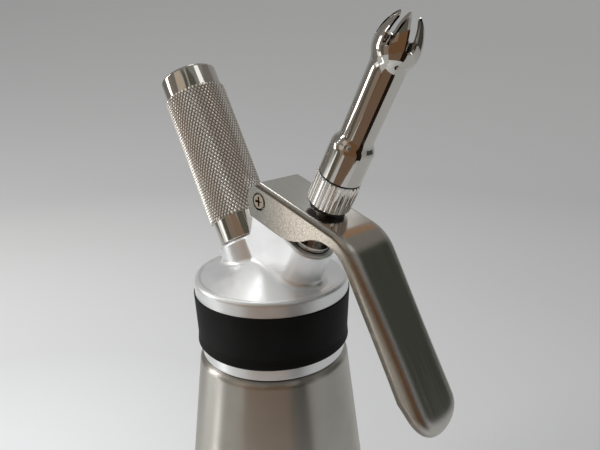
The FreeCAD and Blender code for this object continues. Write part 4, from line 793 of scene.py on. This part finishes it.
@dataclass
class ChargerHolder(SubAssembly):
    """The charger and the knurled holder round it. Sizes in millimetres along the port's axis.

    Args:
        base: height of the holder's open end.
        collar_top: height at which its smooth collar ends.
        crown_base: height at which its smooth crown starts.
        top: height of its closed end.
        floor: height of the inner floor.
        thread_end: height at which the bore narrows from thread to charger.
        ring_radius: radius of collar and crown.
        grip_radius: radius over the knurl's points.
        thread_radius: radius of the bore over the thread.
        bore_radius: radius of the bore round the charger.
        edge: radius of the upper edge.
        chamfer: height of the chamfers beside the knurl.
        diamonds: diamonds in one ring of the knurl.
        rings: rings of diamonds, each half a diamond on from the last.
        depth: depth of the knurl's grooves.
        flat: share of a diamond left flat at its point.
        facets: facets round the turned faces.
    """

    finishes: dict[str, Finish] = field(default_factory=lambda: {
        "gas_charger": CHARGER_STEEL, "charger_cap": CHARGER_STEEL})
    base: float = 8.8
    collar_top: float = 18.3
    crown_base: float = 74.2
    top: float = 83.2
    floor: float = 79.75
    thread_end: float = 18.6
    ring_radius: float = 12.0
    grip_radius: float = 13.0
    thread_radius: float = 10.2
    bore_radius: float = 9.25
    edge: float = 1.2
    chamfer: float = 0.5
    diamonds: int = 52
    rings: int = 47
    depth: float = 0.38
    flat: float = 0.3
    facets: int = 156

    # Steps of the upper edge's rounding, the open end's chamfer, and the angle from which two
    # turned faces meet in a sharp edge
    ARC_STEPS = 8
    MOUTH_CHAMFER = 0.3
    SHARP_DEGREES = 20.0

    def outline(self) -> list[tuple[float, float]]:
        """The holder's half section, from the crown's middle round to the inner floor's middle.

        Returns:
            Radius and height of each corner, in millimetres.
        """
        core = self.grip_radius - self.depth
        rounding = [
            (self.ring_radius - self.edge + self.edge * math.sin(turn),
             self.top - self.edge + self.edge * math.cos(turn))
            for turn in (math.pi / 2 * step / self.ARC_STEPS for step in range(self.ARC_STEPS + 1))]
        slope = self.chamfer * (core - self.ring_radius) / (self.grip_radius - self.ring_radius)
        nick = self.MOUTH_CHAMFER
        return [
            (0.0, self.top), *rounding,
            (self.ring_radius, self.crown_base), (core, self.crown_base - slope),
            (core, self.collar_top + slope), (self.ring_radius, self.collar_top),
            (self.ring_radius, self.base + nick), (self.ring_radius - nick, self.base),
            (self.thread_radius + nick, self.base), (self.thread_radius, self.base + nick),
            (self.thread_radius, self.thread_end), (self.bore_radius, self.thread_end),
            (self.bore_radius, self.floor), (0.0, self.floor)]

    def turned_blank(self) -> Object:
        """The holder before knurling, turned about the vertical at the origin.

        Returns:
            The new object, with its flat and curved faces parted by sharp edges.
        """
        outline = [(radius * MM, height * MM) for radius, height in self.outline()]
        mesh = revolved("charger_holder_blank", outline, self.facets)
        mesh.set_sharp_from_angle(angle=math.radians(self.SHARP_DEGREES))
        mesh.materials.append(HOLDER_STEEL.material())
        return new_object("charger_holder_blank", mesh)

    def net(self, tree: NodeTree, given: NodeOutputs, pitch: Node) -> tuple[Node, Node]:
        """Points in a staggered net round the bar, each ring half a diamond on from the last.

        Args:
            tree: the knurl's tree.
            given: the tree's named inputs.
            pitch: the rings' spacing.

        Returns:
            The node that gives the points, and the one that gives each point's turn.
        """
        count = add_node(tree, "ShaderNodeMath", {
            0: given["Diamonds"], 1: given["Rings"]}, operation="MULTIPLY")
        points = add_node(tree, "GeometryNodePoints", {"Count": count})
        index = add_node(tree, "GeometryNodeInputIndex")
        rounds = add_node(tree, "ShaderNodeMath", {0: index, 1: given["Diamonds"]},
                          operation="DIVIDE")
        ring = add_node(tree, "ShaderNodeMath", {0: rounds}, operation="FLOOR")
        shifted = add_node(tree, "ShaderNodeMath", {0: ring, 1: 0.5, 2: index},
                           operation="MULTIPLY_ADD")
        swept = add_node(tree, "ShaderNodeMath", {0: shifted, 1: math.tau}, operation="MULTIPLY")
        turn = add_node(tree, "ShaderNodeMath", {0: swept, 1: given["Diamonds"]},
                        operation="DIVIDE")
        middle = add_node(tree, "ShaderNodeMath", {0: ring, 1: 0.5}, operation="ADD")
        height = add_node(tree, "ShaderNodeMath", {0: pitch, 1: middle, 2: given["Start"]},
                          operation="MULTIPLY_ADD")
        reach = add_node(tree, "ShaderNodeMath", {0: given["Depth"], 1: -0.5, 2: given["Radius"]},
                         operation="MULTIPLY_ADD")
        front = add_node(tree, "ShaderNodeCombineXYZ", {"X": reach, "Z": height})
        spot = add_node(tree, "ShaderNodeVectorRotate", {"Vector": front, "Angle": turn},
                        rotation_type="Z_AXIS")
        placed = add_node(tree, "GeometryNodeSetPosition", {"Geometry": points, "Position": spot})
        return placed, turn

    def diamond(self, tree: NodeTree, given: NodeOutputs) -> Node:
        """One diamond, a four-sided cone of unit size with its tip cut off.

        Args:
            tree: the knurl's tree.
            given: the tree's named inputs.

        Returns:
            The node that gives it, with its middle at the origin and its tip up.
        """
        cone = add_node(tree, "GeometryNodeMeshCone", {
            "Vertices": 4, "Radius Top": given["Flat"], "Radius Bottom": 1.0, "Depth": 1.0})
        return add_node(tree, "GeometryNodeTransform", {
            "Geometry": cone, "Translation": (0.0, 0.0, -0.5)})

    def knurl_tree(self) -> NodeTree:
        """Geometry nodes that set diamonds on a blank, tip outwards, stretched to their net.

        Returns:
            The tree, with one named input for each of the knurl's sizes.
        """
        tree = bpy.data.node_groups.new("cut_knurl", "GeometryNodeTree")
        rows = [("Blank", "NodeSocketGeometry"), ("Radius", "NodeSocketFloat"),
                ("Depth", "NodeSocketFloat"), ("Flat", "NodeSocketFloat"),
                ("Start", "NodeSocketFloat"), ("Length", "NodeSocketFloat"),
                ("Diamonds", "NodeSocketInt"), ("Rings", "NodeSocketInt"),
                ("Finish", "NodeSocketMaterial")]
        for name, kind in rows:
            tree.interface.new_socket(name, in_out="INPUT", socket_type=kind)
        tree.interface.new_socket("Knurled", in_out="OUTPUT", socket_type="NodeSocketGeometry")
        given = add_node(tree, "NodeGroupInput").outputs
        pitch = add_node(tree, "ShaderNodeMath", {0: given["Length"], 1: given["Rings"]},
                         operation="DIVIDE")
        placed, turn = self.net(tree, given, pitch)
        facing = add_node(tree, "ShaderNodeCombineXYZ", {"Y": math.pi / 2, "Z": turn})
        half_girth = add_node(tree, "ShaderNodeMath", {0: given["Radius"], 1: math.pi},
                              operation="MULTIPLY")
        wide = add_node(tree, "ShaderNodeMath", {0: half_girth, 1: given["Diamonds"]},
                        operation="DIVIDE")
        size = add_node(tree, "ShaderNodeCombineXYZ", {"X": pitch, "Y": wide, "Z": given["Depth"]})
        diamonds = add_node(tree, "GeometryNodeInstanceOnPoints", {
            "Points": placed, "Instance": self.diamond(tree, given), "Rotation": facing,
            "Scale": size})
        real = add_node(tree, "GeometryNodeRealizeInstances", {"Geometry": diamonds})
        rolled = add_node(tree, "GeometryNodeSetMaterial", {
            "Geometry": real, "Material": given["Finish"]})
        joined = add_node(tree, "GeometryNodeJoinGeometry", {"Geometry": rolled})
        tree.links.new(given["Blank"], joined.inputs["Geometry"])
        add_node(tree, "NodeGroupOutput", {"Knurled": joined})
        return tree

    def knurled(self, blank: Object) -> Object:
        """Cut the knurl into a blank and stand the result on the port.

        Args:
            blank: the turned blank, which this uses up.

        Returns:
            The finished holder, a plain mesh in place.
        """
        tree = self.knurl_tree()
        sizes = {"Radius": self.grip_radius * MM, "Depth": self.depth * MM, "Flat": self.flat,
                 "Start": (self.collar_top + self.chamfer) * MM,
                 "Length": (self.crown_base - self.collar_top - 2 * self.chamfer) * MM,
                 "Diamonds": self.diamonds, "Rings": self.rings,
                 "Finish": KNURL_STEEL.material()}
        cutter = blank.modifiers.new("knurl", "NODES")
        cutter.node_group = tree
        for item in tree.interface.items_tree:
            if item.name in sizes:
                cutter[item.identifier] = sizes[item.name]
        blank.update_tag()
        seen = blank.evaluated_get(bpy.context.evaluated_depsgraph_get())
        mesh = bpy.data.meshes.new_from_object(seen)
        mesh.name = "knurled_charger_holder"
        mesh.transform(PORT.placement())
        bpy.data.objects.remove(blank)
        return new_object("knurled_charger_holder", mesh)

    def dress(self) -> None:
        """Dress the charger and put the knurled holder in its plain solid's place."""
        super().dress()
        holder = self.knurled(self.turned_blank())
        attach(holder, "holder")
        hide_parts("charger_holder")
        log.info("%s: %d faces", holder.name, len(holder.data.polygons))


# ---------------------------------------------------------------------------------------------
# Studio
# ---------------------------------------------------------------------------------------------
# Distances of the cards from the bottle's axis: the room's walls, what stands before them, and the
# inner edges of the pale floor and of the darker floor on it
WALL = 0.5
BEFORE_WALL = WALL - 0.01
INNER = 0.13
OUTER = 0.215


class Tone(Enum):
    """What a reflector shows in bright metal."""

    WHITE = "FFFFFF"
    PAPER = "AFB0AE"
    LINEN = "C6B8A8"
    TAUPE = "8C7F72"
    ROOM = "7E7B76"
    SHADE = "605D54"
    OLIVE = "40433D"
    AMBER = "9A7656"
    CLAY = "8C7664"
    OAK = "745F4E"
    WOOD = "72553D"
    BLACK = "201812"


@dataclass(frozen=True)
class Reflector:
    """A card bent round the dispenser that only bright metal sees. Sizes in metres.

    Args:
        name: its name.
        tone: what it shows.
        bearing: direction of its middle, in degrees from +X towards +Y.
        width: its width in degrees.
        low: radius and height of its lower or inner edge.
        high: radius and height of its upper or outer edge.
        strength: how bright it is.
    """

    name: str
    tone: Tone
    bearing: float
    width: float
    low: tuple[float, float]
    high: tuple[float, float]
    strength: float = 1.0

    DEGREES_A_STRIP = 6.0

    @classmethod
    def upright(cls, name: str, tone: Tone, bearing: float, width: float, foot: float,
                head: float, strength: float = 1.0, radius: float = WALL) -> Reflector:
        """A card that stands between two heights, at one distance from the bottle's axis."""
        return cls(name, tone, bearing, width, (radius, foot), (radius, head), strength)

    @classmethod
    def lying(cls, name: str, tone: Tone, bearing: float, width: float, inner: float,
              outer: float, height: float, strength: float = 1.0) -> Reflector:
        """A card that lies between two distances from the bottle's axis, at one height."""
        return cls(name, tone, bearing, width, (inner, height), (outer, height), strength)

    def mesh(self) -> Mesh:
        """The card's surface, in strips from its lower to its upper edge.

        Returns:
            The new mesh.
        """
        strips = max(1, round(self.width / self.DEGREES_A_STRIP))
        turns = [math.radians(self.bearing + self.width * (at / strips - 0.5))
                 for at in range(strips + 1)]
        corners = [(radius * math.cos(turn), radius * math.sin(turn), height)
                   for turn in turns for radius, height in (self.low, self.high)]
        mesh = bpy.data.meshes.new(self.name)
        mesh.from_pydata(corners, [], [(2 * at, 2 * at + 2, 2 * at + 3, 2 * at + 1)
                                       for at in range(strips)])
        return mesh


@dataclass(frozen=True)
class Lamp:
    """A soft lamp that faces the dispenser. Sizes in metres.

    Args:
        name: its name.
        bearing: its direction, in degrees from +X towards +Y.
        rise: the direction's height over the horizon, in degrees.
        width: its width.
        height: its height.
        power: its power in watts.
        glossy: whether bright metal sees it.
    """

    name: str
    bearing: float
    rise: float
    width: float
    height: float
    power: float
    glossy: bool = True


@dataclass
class Studio:
    """Camera, sweep, lamps and reflectors round the dispenser. Sizes in metres.

    Args:
        eye: the camera's place.
        heading: direction in which the camera backs away, in degrees from the -Y axis to +X.
        pitch: how far it looks down, in degrees.
        roll: its roll in degrees.
        lens: its focal length in millimetres.
        sensor: its sensor's width in millimetres.
        clip: the nearest and the farthest distance that it shows.
        centre: the point that the lamps face.
        lamp_distance: distance of the lamps from it.
        floor_radius: radius of the sweep's flat floor.
        bend_radius: radius of the bend up to its wall.
        wall_height: height of the wall.
        painted_light_patch: the middle of the pool of light painted on the floor.
        fade: the paper's colour by its distance from there, as shares of the sweep's radius.
        fill: colour of the daylight from all sides.
        fill_strength: its strength.
        room: grey of the room that bright metal shows past the cards.
        lamp_list: the lamps.
        reflectors: the cards.
    """

    eye: tuple[float, float, float] = (0.16144, -0.13899, 0.25995)
    heading: float = 46.03
    pitch: float = 17.37
    roll: float = -1.09
    lens: float = 33.32
    sensor: float = 36.0
    clip: tuple[float, float] = (0.01, 20.0)
    centre: tuple[float, float, float] = (0.0, 0.0, 0.19)
    lamp_distance: float = 1.1
    floor_radius: float = 0.9
    bend_radius: float = 0.6
    wall_height: float = 1.7
    painted_light_patch: tuple[float, float, float] = (-0.13, -0.13, 0.0)
    fade: tuple[tuple[float, str], ...] = (
        (0.0, "FBFCFC"), (0.16, "DDDDDC"), (0.38, "D4D4D2"), (0.7, "D2D2D0"), (1.0, "C7C6C4"))
    fill: str = "CCCDCF"
    fill_strength: float = 0.68
    room: str = "908F8C"

    lamp_list: tuple[Lamp, ...] = (
        Lamp("window_lamp", -145.0, 24.0, 0.34, 0.95, 4.3),
        Lamp("window_glow_lamp", -118.0, 22.0, 0.5, 0.95, 5.4, glossy=False),
        Lamp("skylight_lamp", 174.0, 60.0, 0.6, 0.4, 2.2),
    )
    reflectors: tuple[Reflector, ...] = (
        # To the camera's left: the far wall, the window, and sun and rug on the floor before it
        Reflector.upright("far_room_card", Tone.ROOM, -165.0, 34.0, 0.0, 0.5),
        Reflector("far_ceiling_card", Tone.ROOM, 195.0, 60.0, (WALL, 0.5), (0.3, 1.0)),
        Reflector.upright("sill_card", Tone.WHITE, -130.5, 7.0, 0.0, 0.12, 1.9, radius=BEFORE_WALL),
        Reflector.lying("sun_patch_card", Tone.WHITE, -126.0, 8.0, 0.14, 0.37, 0.004, 2.2),
        Reflector.lying("rug_card", Tone.LINEN, -119.0, 14.0, 0.38, WALL, 0.004, 0.9),
        Reflector.upright("window_edge_card", Tone.TAUPE, -129.0, 13.0, 0.15, 0.6),
        Reflector.upright("left_wall_card", Tone.SHADE, -114.0, 17.0, 0.0, 0.3),
        Reflector.upright("left_room_card", Tone.ROOM, -116.5, 16.0, 0.3, 0.6),
        # Behind the camera, from the curtain to the doorway
        Reflector.upright("curtain_card", Tone.TAUPE, -95.0, 22.0, 0.0, 0.3),
        Reflector.upright("curtain_top_card", Tone.LINEN, -94.0, 30.0, 0.3, 0.64),
        Reflector.upright("upper_shade_card", Tone.SHADE, -71.0, 12.0, 0.42, 0.75),
        Reflector.upright("light_gap_card", Tone.PAPER, -61.5, 6.0, 0.42, 0.95),
        Reflector.upright("table_edge_card", Tone.WOOD, -52.0, 64.0, 0.0, 0.42),
        Reflector.upright("chair_card", Tone.CLAY, -70.0, 32.0, 0.27, 0.42, radius=BEFORE_WALL),
        Reflector.upright("lintel_card", Tone.SHADE, -41.0, 34.0, 0.42, 0.95),
        # To the camera's right: a dark stand, a door and the ceiling over them
        Reflector.upright("ceiling_card", Tone.WHITE, 15.0, 30.0, 0.79, 1.2, 1.4),
        Reflector.upright("stand_card", Tone.BLACK, -8.0, 24.0, 0.0, 0.4, radius=BEFORE_WALL),
        Reflector.upright("door_card", Tone.OLIVE, 52.0, 46.0, 0.14, 0.5),
        Reflector.upright("door_head_card", Tone.ROOM, 60.0, 58.0, 0.5, 0.85),
        # Behind the dispenser: pale walls and a shelf
        Reflector.upright("pale_wall_card", Tone.PAPER, 131.0, 26.0, 0.48, 0.86, 0.82),
        Reflector.upright("bright_wall_card", Tone.PAPER, 114.5, 7.0, 0.48, 0.86, 1.9),
        Reflector.upright("back_wall_card", Tone.PAPER, 155.0, 34.0, 0.16, 0.42, 0.72),
        Reflector.upright("shelf_card", Tone.AMBER, 100.0, 22.0, 0.6, 0.74),
        # The floor round the dispenser
        Reflector.lying("wood_floor_card", Tone.OAK, -52.0, 64.0, OUTER, WALL, 0.003),
        Reflector.lying("stand_foot_card", Tone.BLACK, -9.0, 26.0, OUTER, WALL, 0.004),
        Reflector.lying("right_floor_card", Tone.PAPER, 38.0, 84.0, INNER, WALL, 0.002),
        Reflector.lying("left_floor_card", Tone.PAPER, -132.0, 96.0, INNER, WALL, 0.002, 1.25),
    )

    BEND_STEPS = 16
    SWEEP_FACETS = 96

    def camera(self) -> None:
        """Set up the camera at the eye."""
        heading, pitch, roll = (math.radians(a) for a in (self.heading, self.pitch, self.roll))
        back = Vector((math.sin(heading) * math.cos(pitch), -math.cos(heading) * math.cos(pitch),
                       math.sin(pitch)))
        right = Vector((math.cos(heading), math.sin(heading), 0.0))
        up = back.cross(right)
        level = Matrix((right, up, back)).transposed()
        lens = bpy.data.cameras.new("camera")
        lens.lens, lens.sensor_width, lens.sensor_fit = self.lens, self.sensor, "HORIZONTAL"
        lens.clip_start, lens.clip_end = self.clip
        camera = new_object("camera", lens)
        camera.matrix_world = Matrix.Translation(self.eye) @ (
            level @ Matrix.Rotation(roll, 3, "Z")).to_4x4()
        bpy.context.scene.camera = camera

    def sweep(self) -> None:
        """A round floor that bends up into a wall, with a painted pool of light: pale underfoot and
        greyer with distance.
        """
        bend = [(self.floor_radius + self.bend_radius * math.sin(turn),
                 self.bend_radius * (1 - math.cos(turn)))
                for turn in (math.pi / 2 * step / self.BEND_STEPS
                             for step in range(self.BEND_STEPS + 1))]
        outline = [(0.0, 0.0), (self.floor_radius / 2, 0.0), *bend,
                   (self.floor_radius + self.bend_radius, self.wall_height)]
        mesh = revolved("sweep", outline, self.SWEEP_FACETS)
        mesh.materials.append(self.sweep_paper())
        sweep = new_object("sweep", mesh)
        sweep.visible_shadow = False
        sweep.visible_diffuse = False

    def sweep_paper(self) -> Material:
        """Matt backdrop paper with a painted pool of light: it fades from pale to grey away from a
        patch of floor.

        Returns:
            The new material.
        """
        paper = bpy.data.materials.new("backdrop_paper")
        tree = bare_tree(paper)
        place = add_node(tree, "ShaderNodeTexCoord")
        # Painted light: the paper is palest at the patch and greyer away from it
        away = add_node(tree, "ShaderNodeVectorMath", {
            0: place.outputs["Object"], 1: self.painted_light_patch}, operation="DISTANCE")
        share = add_node(tree, "ShaderNodeMapRange", {
            "Value": away, "From Max": self.floor_radius + self.bend_radius})
        fade = add_node(tree, "ShaderNodeValToRGB", {"Fac": share})
        ramp = fade.color_ramp
        for at, (stop, tone) in enumerate(self.fade):
            mark = ramp.elements[at] if at < len(ramp.elements) else ramp.elements.new(stop)
            mark.position, mark.color = stop, linear(tone)
        matt = add_node(tree, "ShaderNodeBsdfDiffuse", {"Color": fade})
        add_node(tree, "ShaderNodeOutputMaterial", {"Surface": matt})
        return paper

    def daylight(self) -> None:
        """An even pale fill; the camera and bright metal see the room's grey instead."""
        world = bpy.data.worlds.new("studio_sky")
        tree = bare_tree(world)
        rays = add_node(tree, "ShaderNodeLightPath")
        direct = add_node(tree, "ShaderNodeMath", {
            0: rays.outputs["Is Camera Ray"], 1: rays.outputs["Is Glossy Ray"]}, operation="ADD")
        seen = add_node(tree, "ShaderNodeMath", {
            0: direct, 1: rays.outputs["Is Transmission Ray"]}, operation="ADD", use_clamp=True)
        fill = add_node(tree, "ShaderNodeBackground", {
            "Color": linear(self.fill), "Strength": self.fill_strength})
        room = add_node(tree, "ShaderNodeBackground", {"Color": linear(self.room)})
        sky = add_node(tree, "ShaderNodeMixShader", {"Fac": seen, 1: fill, 2: room})
        add_node(tree, "ShaderNodeOutputWorld", {"Surface": sky})
        bpy.context.scene.world = world

    def lamps(self) -> None:
        """Stand the lamps round the centre, each facing it."""
        for lamp in self.lamp_list:
            light = bpy.data.lights.new(lamp.name, "AREA")
            light.shape, light.size, light.size_y = "RECTANGLE", lamp.width, lamp.height
            light.energy = lamp.power
            turn, lift = math.radians(lamp.bearing), math.radians(lamp.rise)
            out = Vector((math.cos(turn) * math.cos(lift), math.sin(turn) * math.cos(lift),
                          math.sin(lift)))
            stand = new_object(lamp.name, light)
            stand.matrix_world = Matrix.Translation(
                Vector(self.centre) + out * self.lamp_distance) @ (
                out.to_track_quat("Z", "Y").to_matrix().to_4x4())
            stand.visible_camera = False
            stand.visible_glossy = lamp.glossy

    def cards(self) -> None:
        """The reflectors, seen by glossy metal alone."""
        for card in self.reflectors:
            paint = bpy.data.materials.new(card.name)
            tree = bare_tree(paint)
            light = add_node(tree, "ShaderNodeEmission", {
                "Color": linear(card.tone.value), "Strength": card.strength})
            add_node(tree, "ShaderNodeOutputMaterial", {"Surface": light})
            mesh = card.mesh()
            mesh.materials.append(paint)
            stand = new_object(card.name, mesh)
            for ray in ("camera", "diffuse", "transmission", "volume_scatter", "shadow"):
                setattr(stand, f"visible_{ray}", False)

    def build(self) -> None:
        """Put up the whole studio."""
        bpy.context.scene.view_settings.view_transform = "Standard"
        self.camera()
        self.sweep()
        self.daylight()
        self.lamps()
        self.cards()


def main() -> None:
    """Load the frame, dress each sub-assembly and put up the studio."""
    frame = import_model()
    Studio().build()
    for part in (Bottle(frame), Head(frame), Valve(frame), Lever(frame), Nozzle(frame),
                 ChargerHolder(frame)):
        log.info("dressing %s", type(part).__name__)
        part.dress()


if __name__ == "__main__":
    logging.basicConfig(level=logging.INFO)
    main()
